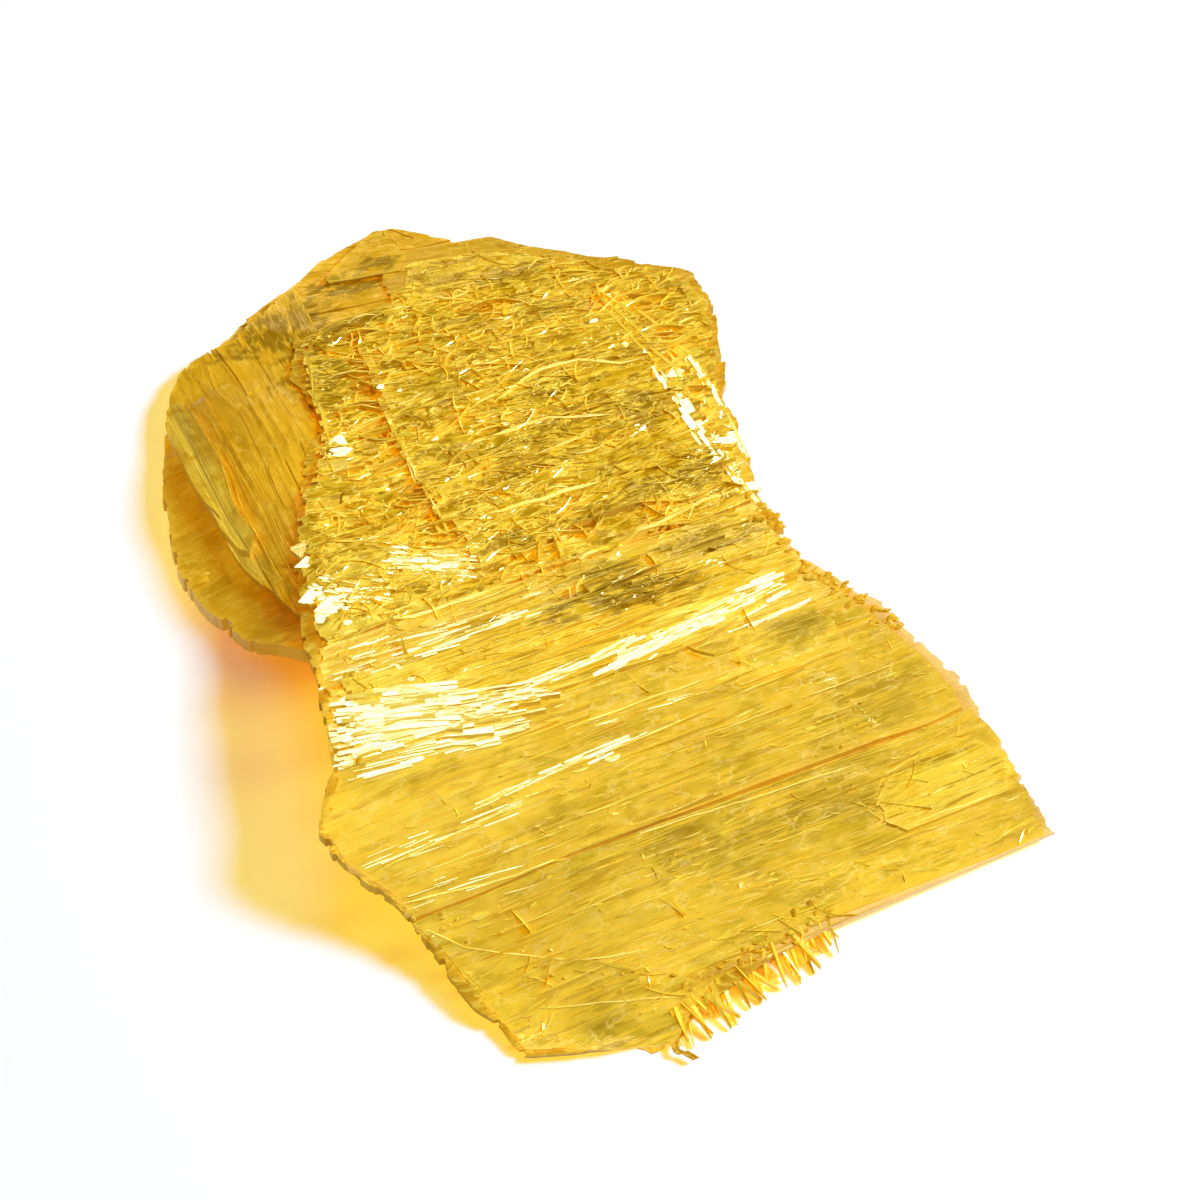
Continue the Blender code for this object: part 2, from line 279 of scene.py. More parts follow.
def layGrid(form, rng):
    # rows of fibres between the two outlines, with their ragged ends
    left, right = ownOutline(form["left"], form["turn"]), ownOutline(form["right"], form["turn"])
    first, last = max(left[0][0], right[0][0]), min(left[-1][0], right[-1][0])
    rows, ledges, fibres = layRows(first, last, form["ledge"], form["fibre"], rng)
    start, end = readOutline(left, rows), readOutline(right, rows)
    width = float(np.max(end - start))
    start = start + raggedEdge(rows, ledges, fibres, form, rng, form["seed"] + laying["startSeed"])
    end = end - raggedEdge(rows, ledges, fibres, form, rng, form["seed"] + laying["endSeed"])
    narrow = end - start < laying["shortest"]
    middle = (start + end) / 2
    start = np.where(narrow, middle - laying["shortest"] / 2, start)
    end = np.where(narrow, middle + laying["shortest"] / 2, end)
    return rows, ledges, fibres, start, end, width


def roughen(relief, form, along, strip, fromRim):
    # waves, grit and fray over the laths, and a rim that curls
    seed = form["seed"]
    torn = smoothStep(0.5 + bumps("torn", along, strip, seed))
    relief = relief * (1.0 - form["patchy"] * torn)
    relief += form["wave"] * bumps("wave", along, strip, seed)
    relief += form["grit"] * bumps("grit", along, strip, seed)
    relief -= form["fray"] * np.abs(bumps("fray", along, strip, seed))
    lifted = 0.5 + 0.5 * bumps("lifted", along, strip, seed)
    return relief + form["curl"] * (np.exp(-fromRim / form["curlReach"]) * lifted - 1.0)


def extrudeDown(piece):
    # gives the sheet its underside; says which points are new, and from which point each one came
    bpy.ops.object.mode_set(mode="EDIT")
    bpy.ops.mesh.select_all(action="SELECT")
    bpy.ops.mesh.extrude_region_move(TRANSFORM_OT_translate={"value": (0.0, 0.0, -1.0)})
    bpy.ops.object.mode_set(mode="OBJECT")
    points = readPoints(piece)
    under = np.zeros(len(points), bool)
    piece.data.vertices.foreach_get("select", under)
    return points, under, twinOrder(points, under)


def closeUp(piece, crisp):
    # faces outwards, and smooth except where they meet at more than the crisp angle
    bpy.ops.object.select_all(action="DESELECT")
    bpy.context.view_layer.objects.active = piece
    piece.select_set(True)
    bpy.ops.object.mode_set(mode="EDIT")
    bpy.ops.mesh.select_all(action="SELECT")
    bpy.ops.mesh.normals_make_consistent(inside=False)
    bpy.ops.object.mode_set(mode="OBJECT")
    bpy.ops.object.shade_smooth_by_angle(angle=math.radians(crisp))


def makeLamina(name, form):
    # one closed sheet of fibres between two outlines
    rng = np.random.default_rng(form["seed"])
    rows, ledges, fibres, start, end, width = layGrid(form, rng)
    columns = max(3, round(width / form["column"]))
    piece = addGrid(name, columns, len(rows) - 1)
    points = readPoints(piece)
    column = np.rint((points[:, 0] + 1.0) / 2.0 * columns).astype(int)
    row = np.rint((points[:, 1] + 1.0) / 2.0 * (len(rows) - 1)).astype(int)
    strip = rows[row]
    ownAlong = start[row] + (end - start)[row] * column / columns
    sway = form["sway"] * bumps("sway", ownAlong, strip, form["seed"])
    along, across = toPlan(ownAlong, strip + sway, form["turn"])
    fromEnd = np.minimum(ownAlong - start[row], end[row] - ownAlong)
    fromRim = np.minimum(fromEnd, np.minimum(strip - rows[0], rows[-1] - strip))
    laths = layRelief(rows, ledges, fibres, columns, width, form, rng)[row, column]
    relief = roughen(laths, form, ownAlong, strip, fromRim)
    lowLevel, topLevel = form["levels"]
    top = levelHeight(along, across, topLevel)
    thick = top - levelHeight(along, across, lowLevel)
    top = top + np.clip(relief, -form["deepest"] * thick, 0.0)
    x, y = turnPlan(along, across, fold["striaeAngle"])
    writePoints(piece, np.column_stack((x, y, top)))
    points, under, twins = extrudeDown(piece)
    along, across = along[twins], across[twins]
    lumps = form["under"] * (1.0 + bumps("lumps", along, across, form["seed"]))
    low = levelHeight(along, across, lowLevel) + lumps
    points[under, 2] = np.minimum(low, points[twins, 2] - form["thinnest"])[under]
    points[:, :2] -= fold["middle"]
    writePoints(piece, points * mm)
    markStrata(piece, ownAlong[twins], strip[twins])
    # rim marks where a painted glow lights the lamina's rim; the body and the lower tip get it along their
    # right edge
    fromRim = reachFrom(form["rimLine"], along, across) if form["rimLine"] else fromRim[twins]
    markPoints(piece, "rim", np.exp(-np.maximum(fromRim, 0.0) / form["rimWidth"]))
    markPatches(piece, along, across)
    closeUp(piece, form["crisp"])
    return piece


def reachFrom(line, along, across):
    # distance from an outline given as (across, along) points
    nearest = np.full(len(along), 1e9)
    for (acrossA, alongA), (acrossB, alongB) in zip(line, line[1:]):
        runU, runV = alongB - alongA, acrossB - acrossA
        share = ((along - alongA) * runU + (across - acrossA) * runV) / (runU ** 2 + runV ** 2)
        share = np.clip(share, 0.0, 1.0)
        away = np.hypot(along - alongA - share * runU, across - acrossA - share * runV)
        nearest = np.minimum(nearest, away)
    return nearest


def markPoints(piece, label, values):
    layer = piece.data.attributes.new(label, "FLOAT", "POINT")
    layer.data.foreach_set("value", np.ascontiguousarray(values, float))


# border of a patch, as shares of its reach: how far coarse and fine bumps move it, its end and its softness
border = {"coarse": 0.5, "fine": 0.6, "end": 1.2, "softness": 0.5}


def patchMask(patches, along, across):
    # soft ellipses with wandering borders
    wander = border["coarse"] * bumps("border", along, across)
    wander += border["fine"] * bumps("hairs", along, across)
    total = np.zeros(len(along))
    for middle, reach, strength in patches:
        far = np.hypot((along - middle[0]) / reach[0], (across - middle[1]) / reach[1]) + wander
        total = np.maximum(total, strength * smoothStep((border["end"] - far) / border["softness"]))
    return total


def markPatches(piece, along, across):
    # where the flake has the stone's dark olive with painted shade, and where highlights and lit strips are
    # painted bright
    markPoints(piece, "dark", patchMask(oliveAndShadePatches, along, across))
    markPoints(piece, "light", patchMask(paintedLightPatches, along, across))


# (along, across), (half length, half width), strength
# the stone's dark olive patches, with painted shade under the long ledge and in the notch at the rear left
oliveAndShadePatches = (
    ((-0.4, -0.7), (3.0, 1.3), 1.0),
    ((2.0, -1.2), (2.2, 0.9), 1.0),
    ((5.0, 0.2), (2.4, 0.8), 0.8),
    ((-6.8, -0.6), (2.4, 0.4), 0.5),
    ((-3.0, 3.0), (1.0, 0.5), 0.7),
    ((6.2, 3.6), (1.3, 1.2), 0.8),
    ((2.6, 3.4), (2.6, 0.5), 0.7),
    ((5.2, 8.0), (1.2, 1.0), 0.7),
    ((3.6, 19.0), (1.5, 0.5), 0.7),
    ((3.6, 15.9), (1.1, 0.5), 0.7),
    ((2.6, 10.9), (1.8, 0.5), 0.7),
    ((-1.2, 6.8), (2.4, 0.5), 0.5),
    ((1.6, 8.4), (2.6, 0.5), 0.5),
    ((-3.4, 12.4), (1.6, 0.6), 0.4),
    ((6.4, -5.3), (2.2, 0.9), 0.6),
    ((-1.5, -12.8), (2.6, 0.9), 0.6),
    ((4.5, -13.2), (2.2, 1.0), 0.5),
    ((9.0, -9.6), (2.4, 1.2), 0.4),
    ((-6.4, 19.4), (2.6, 1.2), 0.8),
    ((-3.2, 21.9), (1.7, 0.8), 1.0),
    ((-7.4, 20.8), (2.6, 1.4), 0.9),
    ((-7.4, 16.6), (1.4, 2.4), 0.7),
    ((-8.6, -18.0), (1.0, 1.2), 0.4),
    ((2.1, -12.2), (6.0, 2.2), 0.3),
)
# painted highlight on the crest band, the lower left and the right margin, painted light along the side
# panel's lit strip, and a lighter patch over the chip
paintedLightPatches = (
    ((-12.6, -2.6), (4.6, 1.8), 1.0),
    ((-11.8, 1.6), (3.2, 1.7), 0.75),
    ((-7.0, 3.8), (2.2, 1.2), 0.8),
    ((-11.0, 4.4), (2.2, 1.2), 0.6),
    ((-12.2, -8.0), (4.6, 3.6), 0.9),
    ((2.4, -3.4), (5.0, 0.7), 1.0),
    ((-6.6, -15.6), (4.6, 2.4), 0.5),
    ((10.0, -14.2), (2.6, 0.9), 0.3),
    ((10.0, -14.4), (2.8, 1.0), 0.5),
    ((8.4, 7.0), (0.8, 5.0), 0.7),
    ((-14.3, 16.0), (0.6, 2.4), 1.0),
    ((-14.3, 12.0), (0.6, 2.4), 1.0),
    ((-14.3, 8.6), (0.6, 1.6), 1.0),
)


def markStrata(piece, along, strip):
    # UV map in centimetres along and across the striae, so that patterns follow them
    layer = piece.data.uv_layers.get("strata") or piece.data.uv_layers.new(name="strata")
    corners = np.empty(len(piece.data.loops), int)
    piece.data.loops.foreach_get("vertex_index", corners)
    layer.data.foreach_set("uv", np.column_stack((along[corners], strip[corners])).ravel() * 0.1)


# outlines are (across, along) points from the lower tip to the upper edge
plateLeft = (
    (-21.4, -5.6), (-19.9, -6.6), (-19.5, -9.0), (-18.3, -12.3), (-13.8, -13.7),
    (-10.6, -14.9), (-8.0, -16.5), (-6.5, -16.7), (-3.9, -15.1), (4.8, -13.1),
    (7.5, -12.4), (14.1, -8.6), (17.4, -8.4), (19.6, -7.6), (20.1, -2.6), (22.6, -1.4),
)
plateRight = (
    (-21.4, -5.4), (-20.6, -5.9), (-19.3, -4.3), (-18.8, -1.9), (-18.4, 0.3), (-18.1, 2.5),
    (-17.95, 13.8), (-15.4, 13.6),
    (-10.0, 12.7), (-5.3, 10.8), (-3.3, 9.4), (-1.2, 8.4), (1.9, 8.4),
    (6.9, 9.4), (13.3, 11.4), (15.3, 11.3), (18.0, 8.2), (21.5, 3.5), (22.6, -0.3),
)
bedLeft = (
    (-20.3, -6.9), (-18.6, -8.8), (-17.4, -11.4), (-10.4, -14.0), (-6.6, -15.8),
    (-3.6, -14.3), (0.8, -13.1), (2.6, -14.2), (4.4, -15.6), (7.0, -16.8),
    (9.6, -17.2), (12.6, -16.4), (15.2, -15.6), (17.8, -14.4), (21.6, -9.9), (24.3, -1.6),
)
bedRight = (
    (-20.3, -6.6), (-18.9, -3.8), (-18.3, -1.6), (-17.9, 0.6), (-17.5, 2.4), (-17.2, 12.9), (-10.0, 11.9),
    (-5.0, 10.0), (-1.2, 7.7), (1.9, 7.8), (6.9, 8.8), (13.3, 10.6),
    (15.0, 10.6), (17.6, 7.6), (20.8, 3.0), (22.9, 0.9), (24.3, -1.0),
)

# ways in which a lamina is laid: mean width, height, length and slope of its ledges and fibres, how ragged
# their ends are, waves, grit and fray on them, the grid's columns, and how the rim is lit and creased
calm = {
    "ledge": 3.0, "ledgeStep": 0.05, "ledgeLength": 40.0, "ledgeTip": 0.010,
    "fibre": 0.32, "fibreStep": 0.020, "fibreLength": 7.0, "fibreTip": 0.030,
    "edgeWander": 0.22, "ledgeJag": 0.12, "fibreJag": 0.22,
    "wave": 0.05, "grit": 0.008, "fray": 0.03, "sway": 0.10, "curl": 0.06, "under": 0.05,
    "column": 0.28, "rimWidth": 0.12, "rimLine": None, "crisp": 20.0, "turn": 0.0, "finish": "calm",
    "shades": False, "patchy": 0.0, "curlReach": 0.7, "deepest": 0.7, "thinnest": 0.08,
}
rough = {
    **calm, "shades": True,
    "ledge": 1.5, "ledgeStep": 0.16, "ledgeLength": 7.0, "ledgeTip": 0.07,
    "fibre": 0.24, "fibreStep": 0.06, "fibreLength": 2.2, "fibreTip": 0.14,
    "ledgeJag": 0.25, "fibreJag": 0.5,
    "wave": 0.14, "grit": 0.030, "fray": 0.12, "sway": 0.40, "curl": 0.08, "patchy": 0.6,
    "column": 0.16, "finish": "rough",
}
silky = {
    **calm,
    "ledge": 0.9, "ledgeStep": 0.16, "ledgeLength": 9.0, "ledgeTip": 0.10,
    "fibre": 0.26, "fibreStep": 0.06, "fibreLength": 4.5, "fibreTip": 0.16,
    "ledgeJag": 0.2, "fibreJag": 0.4, "grit": 0.010, "fray": 0.04, "column": 0.26, "finish": "silky",
}
side = {
    **calm, "shades": True,
    "ledge": 1.0, "ledgeStep": 0.12, "ledgeLength": 12.0, "ledgeTip": 0.08,
    "fibre": 0.24, "fibreStep": 0.05, "fibreLength": 5.0, "fibreTip": 0.12,
    "wave": 0.10, "grit": 0.012, "fray": 0.05, "sway": 0.20, "curl": 0.10,
    "column": 0.24, "turn": -90.0, "finish": "side",
}

# levels are shares of the plate's thickness, from the underside up
laminae = {
    "bed": {
        **side, "left": bedLeft, "right": bedRight, "levels": (0.0, 0.46), "seed": 11,
        "turn": 0.0, "column": 0.34, "fibre": 0.30, "shades": False,
    },
    "body": {
        **calm, "left": plateLeft, "right": plateRight, "levels": (0.36, 0.66), "seed": 12, "shades": True,
        "rimWidth": 0.40, "rimLine": plateRight[4:12], "finish": "pale",
    },
    "lowerWing": {
        **calm, "levels": (0.56, 0.80), "seed": 13,
        "left": ((-11.3, -14.4), (-8.4, -16.0), (-6.6, -16.4), (-3.9, -14.8), (1.9, -13.5)),
        "right": ((-11.9, 12.4), (-10.0, 12.2), (-5.3, 10.3), (-3.3, 8.9), (1.4, 7.9)),
    },
    "lowerTip": {
        **calm, "levels": (0.56, 0.77), "seed": 21, "rimWidth": 0.30, "rimLine": plateRight[4:12],
        "left": ((-18.6, -10.8), (-16.9, -12.6), (-13.8, -13.5), (-10.9, -14.6)),
        "right": ((-17.9, 13.4), (-15.6, 13.3), (-13.0, 13.1), (-11.4, 12.7)),
    },
    "fan": {
        **calm, "levels": (0.60, 0.84), "seed": 14,
        "left": ((-20.4, -6.6), (-19.4, -9.0), (-18.1, -12.0), (-15.6, -12.9), (-13.9, -13.3)),
        "right": ((-20.4, -5.9), (-19.2, -4.4), (-18.5, -3.2), (-15.6, -8.2), (-13.9, -11.2)),
    },
    "upperWing": {
        **rough, "levels": (0.56, 0.84), "seed": 15,
        "left": (
            (1.2, -13.3), (4.8, -13.1), (7.6, -12.2), (12.6, -8.8),
            (14.4, -8.4), (18.6, -7.4), (19.6, -6.6), (20.2, -2.0), (21.6, -1.2),
        ),
        "right": (
            (1.6, 7.9), (6.9, 9.0), (13.2, 11.0), (15.1, 10.8), (17.8, 7.6), (20.0, 4.8), (21.6, 1.6),
        ),
    },
    "crestSheet": {
        **silky, "levels": (0.74, 0.95), "seed": 16,
        "left": ((-5.9, -14.9), (-4.0, -14.0), (0.8, -13.1)),
        "right": ((-4.7, 2.9), (-2.6, 8.3), (-0.6, 7.6)),
    },
    "topSheet": {
        **rough, "levels": (0.76, 1.0), "seed": 17,
        "left": ((2.1, -5.4), (8.2, -6.0), (14.4, -5.4), (18.2, -4.8)),
        "right": ((2.7, 7.2), (7.0, 8.0), (12.4, 7.9), (15.4, 6.8), (17.0, 4.8)),
    },
    "window": {
        **calm, "levels": (0.74, 0.88), "seed": 18,
        "left": ((-7.5, 3.2), (-4.6, 4.2)),
        "right": ((-7.1, 8.6), (-4.4, 8.3)),
    },
    "chip": {
        **calm, "levels": (0.56, 0.87), "seed": 19, "curl": 0.02, "wave": 0.08, "finish": "silky",
        "left": ((-15.6, 7.3), (-14.9, 6.5), (-13.9, 6.4), (-13.0, 7.6), (-12.5, 9.6)),
        "right": ((-15.6, 12.5), (-14.4, 13.0), (-13.5, 12.8), (-12.6, 11.9), (-12.4, 10.8)),
    },
    "sidePanel": {
        **side, "levels": (0.40, 0.64), "seed": 22, "ledgeStep": 0.09, "fibreStep": 0.03, "fibreTip": 0.07,
        "left": (
            (-14.7, -15.0), (-14.3, -18.2), (-13.0, -19.8), (-11.0, -21.0), (-8.6, -22.0), (-6.0, -22.6),
        ),
        "right": (
            (-14.7, -9.0), (-14.2, -6.4), (-13.4, -4.0), (-12.4, -2.8), (-8.6, -2.2), (-6.0, -2.0),
        ),
    },
    "edgeStrip": {
        **side, "levels": (0.55, 0.88), "seed": 23, "ledge": 3.0, "wave": 0.05,
        "shades": False,
        "left": ((-14.9, -16.6), (-14.6, -17.8), (-14.2, -18.2), (-13.6, -17.6)),
        "right": ((-14.9, -10.2), (-14.6, -8.6), (-14.2, -8.0), (-13.6, -8.6)),
    },
    "cornerTab": {
        **side, "levels": (0.44, 0.82), "seed": 24, "turn": 0.0, "column": 0.2, "rimWidth": 0.3,
        "left": ((21.3, -3.2), (22.2, -4.7), (24.0, -1.9)),
        "right": ((21.3, -1.0), (22.0, -0.6), (24.0, -1.2)),
    },
}


def startHeap():
    # vertices, faces and marks of many small bodies that become one mesh
    return {"points": [], "faces": [], "marks": [], "count": 0}


def addToHeap(heap, points, faces, marks):
    heap["faces"] += [[corner + heap["count"] for corner in face] for face in faces]
    heap["points"].append(points)
    heap["marks"].append(marks)
    heap["count"] += len(points)


def readHeights(trees, along, across):
    # height in millimetres of the topmost lamina under each plan point, and below the floor beside the flake
    clearOfAll, beside = 20.0, -1.0
    x, y = placePlan(np.asarray(along, float), np.asarray(across, float))
    heights = np.zeros(len(x))
    down = Vector((0.0, 0.0, -1.0))
    for k in range(len(x)):
        above = Vector((x[k] * mm, y[k] * mm, clearOfAll * mm))
        hits = [tree.ray_cast(above, down)[0] for tree in trees]
        heights[k] = max([hit.z / mm for hit in hits if hit is not None], default=beside)
    return heights


# every rib has a foot below the surface and a narrower top, as shares of its width;
# its marks set it on a stretch of its own in the strata map
sliver = {
    "foot": 0.5, "top": 0.36, "lowest": 0.03, "endWidth": 0.03,
    "markStep": (0.37, 0.113), "markSides": (0.0, 0.1, 0.5, 0.6),
}


def addSliver(heap, along, across, heights, widths, lift, depth, lean=0.0):
    # a thin rib through the given points: rooted below the surface, flat or leaning on top
    stations = len(along)
    run = np.gradient(along), np.gradient(across)
    size = np.maximum(np.hypot(*run), 1e-6)
    side = -run[1] / size, run[0] / size
    foot, top = sliver["foot"], sliver["top"]
    points = []
    for offset, rise in ((-foot, -depth), (-top, lift - lean), (top, lift + lean), (foot, -depth)):
        points.append(np.column_stack((
            along + side[0] * widths * offset, across + side[1] * widths * offset,
            np.maximum(heights + rise, sliver["lowest"]),
        )))
    points = np.stack(points, axis=1).reshape(-1, 3)
    last = 4 * stations - 1
    faces = [[0, 1, 2, 3], [last, last - 1, last - 2, last - 3]]
    for k in range(0, last - 3, 4):
        for corner in range(4):
            after = (corner + 1) % 4
            faces.append([k + after, k + corner, k + 4 + corner, k + 4 + after])
    length = np.concatenate(([0.0], np.cumsum(np.hypot(np.diff(along), np.diff(across)))))
    stepAlong, stepAcross = sliver["markStep"]
    marks = np.column_stack((
        np.repeat(length + heap["count"] * stepAlong, 4), np.tile(sliver["markSides"], stations),
    ))
    marks[:, 1] += heap["count"] * stepAcross
    addToHeap(heap, points, faces, marks)


def finishHeap(name, heap, crisp):
    # the whole heap as one mesh
    points, marks = np.concatenate(heap["points"]), np.concatenate(heap["marks"])
    along, across = points[:, 0].copy(), points[:, 1].copy()
    mesh = bpy.data.meshes.new(name)
    placed = np.column_stack((*placePlan(along, across), points[:, 2])) * mm
    mesh.from_pydata(placed.tolist(), [], heap["faces"])
    mesh.update()
    piece = bpy.data.objects.new(name, mesh)
    bpy.context.scene.collection.objects.link(piece)
    markStrata(piece, marks[:, 0], marks[:, 1])
    # small pieces get no painted rim glow
    markPoints(piece, "rim", np.zeros(len(points)))
    markPatches(piece, along, across)
    closeUp(piece, crisp)
    return piece


def walkAlong(knots):
    # length walked along a line at each of its knots
    return np.concatenate(([0.0], np.cumsum(np.hypot(*np.diff(knots, axis=0).T))))


def mostlyLow(rng, reach, power):
    # a random value in the reach, more often near its low end
    return reach[0] + (reach[1] - reach[0]) * rng.uniform() ** power


# bright ledge lines through (along, across) points; their lighter gold is painted highlight on lamina edges
ledgeLines = {
    "width": (0.07, 0.14), "lift": 0.04, "depth": 0.35, "station": 0.8, "jitter": 0.022, "roughShare": 1.8,
    "roughLift": 0.09, "roughJitter": 0.06, "roughFrom": 1.0, "lowest": 0.6, "crisp": 30.0, "seed": 31,
    "lines": (
        ((-14.5, -10.6), (-9.8, -11.2), (-5.1, -11.4), (1.8, -11.7), (6.6, -11.9)),
        ((4.7, -4.5), (6.4, -4.3), (8.1, -4.3)),
        ((3.0, -7.3), (5.6, -7.1), (7.8, -6.9)),
        ((7.4, -15.35), (9.8, -15.4), (12.5, -15.5)),
        ((6.7, -13.6), (7.4, -12.9), (9.2, -12.5), (11.2, -12.4)),
        ((-13.3, 1.8), (-9.4, 1.4), (-5.2, 1.3), (-2.4, 1.3), (0.8, 1.7), (3.5, 2.0), (5.8, 2.3), (7.4, 2.3)),
        ((-3.9, 5.1), (-1.2, 5.0), (1.9, 4.9)),
        ((-0.7, 11.4), (1.6, 12.2), (3.5, 12.1), (5.5, 11.2), (6.5, 10.9)),
        ((-1.8, 9.3), (1.1, 9.3), (3.8, 8.3)),
        ((-14.6, -11.2), (-12.6, -13.0), (-9.9, -14.6), (-7.9, -15.7), (-5.4, -16.2)),
        ((-10.8, -16.6), (-8.0, -17.6), (-4.6, -18.8)),
        ((-9.8, -8.1), (-6.0, -7.9), (-2.5, -7.6)),
        ((-15.2, -9.1), (-11.6, -8.9), (-8.2, -8.7)),
        ((-3.5, -7.8), (0.9, -7.5)),
        ((-4.9, -6.3), (-1.0, -6.2), (2.5, -6.2)),
        ((-4.9, 15.5), (-5.6, 11.6), (-6.1, 6.6), (-5.2, 2.0)),
        ((-5.5, 11.0), (-5.7, 8.5), (-6.5, 6.2), (-7.3, 5.1)),
        ((-5.8, 7.2), (-5.7, 4.9), (-5.0, 2.9)),
        ((-5.1, 19.8), (-4.7, 19.1), (-4.5, 17.2), (-5.4, 13.8), (-5.7, 11.9)),
        ((-7.2, 19.1), (-7.6, 16.8), (-8.2, 14.1), (-8.4, 12.3)),
        ((6.8, 15.6), (7.3, 13.2), (8.3, 9.6)),
        ((7.3, 15.6), (8.2, 12.9), (8.8, 9.7), (8.9, 6.1), (8.7, 3.0)),
        ((6.2, 15.1), (6.7, 11.9), (7.0, 9.9)),
        ((6.5, 15.4), (7.0, 12.6), (7.6, 9.6), (7.9, 6.4)),
        ((-7.0, 19.7), (-4.8, 20.0), (-2.4, 20.2)),
    ),
}


def makeLedgeLines(name, form, trees):
    rng = np.random.default_rng(form["seed"])
    heap = startHeap()
    for line in form["lines"]:
        knots = np.array(line)
        rugged = knots[:, 1].mean() > form["roughFrom"]
        jitter, lift = (form["roughJitter"], form["roughLift"]) if rugged else (form["jitter"], form["lift"])
        steps = walkAlong(knots)
        at = np.linspace(0.0, steps[-1], max(4, int(steps[-1] / form["station"])))
        along = np.interp(at, steps, knots[:, 0]) + rng.normal(0.0, jitter, len(at))
        across = np.interp(at, steps, knots[:, 1]) + rng.normal(0.0, jitter, len(at))
        heights = readHeights(trees, along, across)
        on = heights > form["lowest"]        # a line stops where the flake does
        if on.sum() < 3:
            continue
        widths = rng.uniform(*form["width"], on.sum()) * (form["roughShare"] if rugged else 1.0)
        widths[0] = widths[-1] = sliver["endWidth"]
        addSliver(heap, along[on], across[on], heights[on], widths, lift, form["depth"])
    return finishHeap(name, heap, form["crisp"])


# loose fibre ends all over the rough upper wing, and a few elsewhere; each zone has its count, its reach
# across, the margin to the rims, lengths, the crowding it starts from, the swing in degrees, the share
# that lies crosswise, the bend, widths and lifts
splinters = {
    "zones": (
        (2300, (1.4, 20.4), 0.5, (0.4, 3.2), -0.2, 12.0, 0.25, 0.20, (0.04, 0.14), (0.02, 0.11)),
        (260, (-5.6, 1.6), 0.6, (0.8, 4.6), -1.0, 2.0, 0.03, 0.03, (0.03, 0.09), (0.01, 0.06)),
        (420, (-2.6, 2.0), 0.5, (0.3, 2.0), -0.3, 8.0, 0.18, 0.22, (0.04, 0.13), (0.02, 0.08)),
        (260, (-17.4, -5.6), 0.7, (0.8, 7.0), -1.0, 1.2, 0.0, 0.012, (0.03, 0.09), (0.01, 0.04)),
        (520, (-19.0, -5.0), 0.8, (0.2, 1.2), -0.1, 7.0, 0.10, 0.08, (0.05, 0.15), (0.01, 0.05)),
        (260, (-18.6, -12.4), 0.6, (0.3, 2.4), 0.05, 16.0, 0.15, 0.10, (0.05, 0.16), (0.02, 0.06)),
    ),
    "depth": 0.25, "taper": (0.25, 0.9, 1.0, 0.8, 0.15), "lean": 0.3, "lowest": 0.5, "sag": 0.15,
    "crossTurns": (35.0, 145.0), "crossLongest": 1.3, "shortPower": 2.2, "leastRun": 0.1,
    "crisp": 25.0, "seed": 37,
}


def makeSplinters(name, form, trees):
    rng = np.random.default_rng(form["seed"])
    heap = startHeap()
    share = np.linspace(-0.5, 0.5, len(form["taper"]))
    arch = 1.0 - (2.0 * share) ** 2      # 1 in the middle, 0 at both ends
    for count, reach, margin, lengths, crowd, swing, crossing, bend, sizes, lifts in form["zones"]:
        for number in range(count):
            across = rng.uniform(*reach)
            length = mostlyLow(rng, lengths, form["shortPower"])
            left = readOutline(plateLeft, across) + margin + length / 2
            right = readOutline(plateRight, across) - margin - length / 2
            along = rng.uniform(left, max(left + form["leastRun"], right))
            if bumps("splinterCrowd", np.array([along]), np.array([across]), form["seed"])[0] < crowd:
                continue
            turn = math.radians(rng.normal(0.0, swing))
            if rng.uniform() < crossing:
                turn = math.radians(rng.uniform(*form["crossTurns"]))
                length = min(length, form["crossLongest"])
            lean = -fold["fan"] * max(across - fold["fanFrom"], 0.0)
            bow = bend * length * rng.uniform(-1.0, 1.0) * arch
            alongs = along + share * length * math.cos(turn) - bow * math.sin(turn)
            acrosses = across + share * length * (math.sin(turn) + lean) + bow * math.cos(turn)
            heights = readHeights(trees, alongs, acrosses)
            if heights.min() < form["lowest"]:
                continue
            heights = np.maximum(heights, heights.max() - form["sag"])
            width = rng.uniform(*sizes)
            lift = rng.uniform(*lifts)
            tip = rng.uniform(-form["lean"], form["lean"]) * width
            widths = width * np.array(form["taper"])
            addSliver(heap, alongs, acrosses, heights, widths, lift, form["depth"], tip)
    return finishHeap(name, heap, form["crisp"])


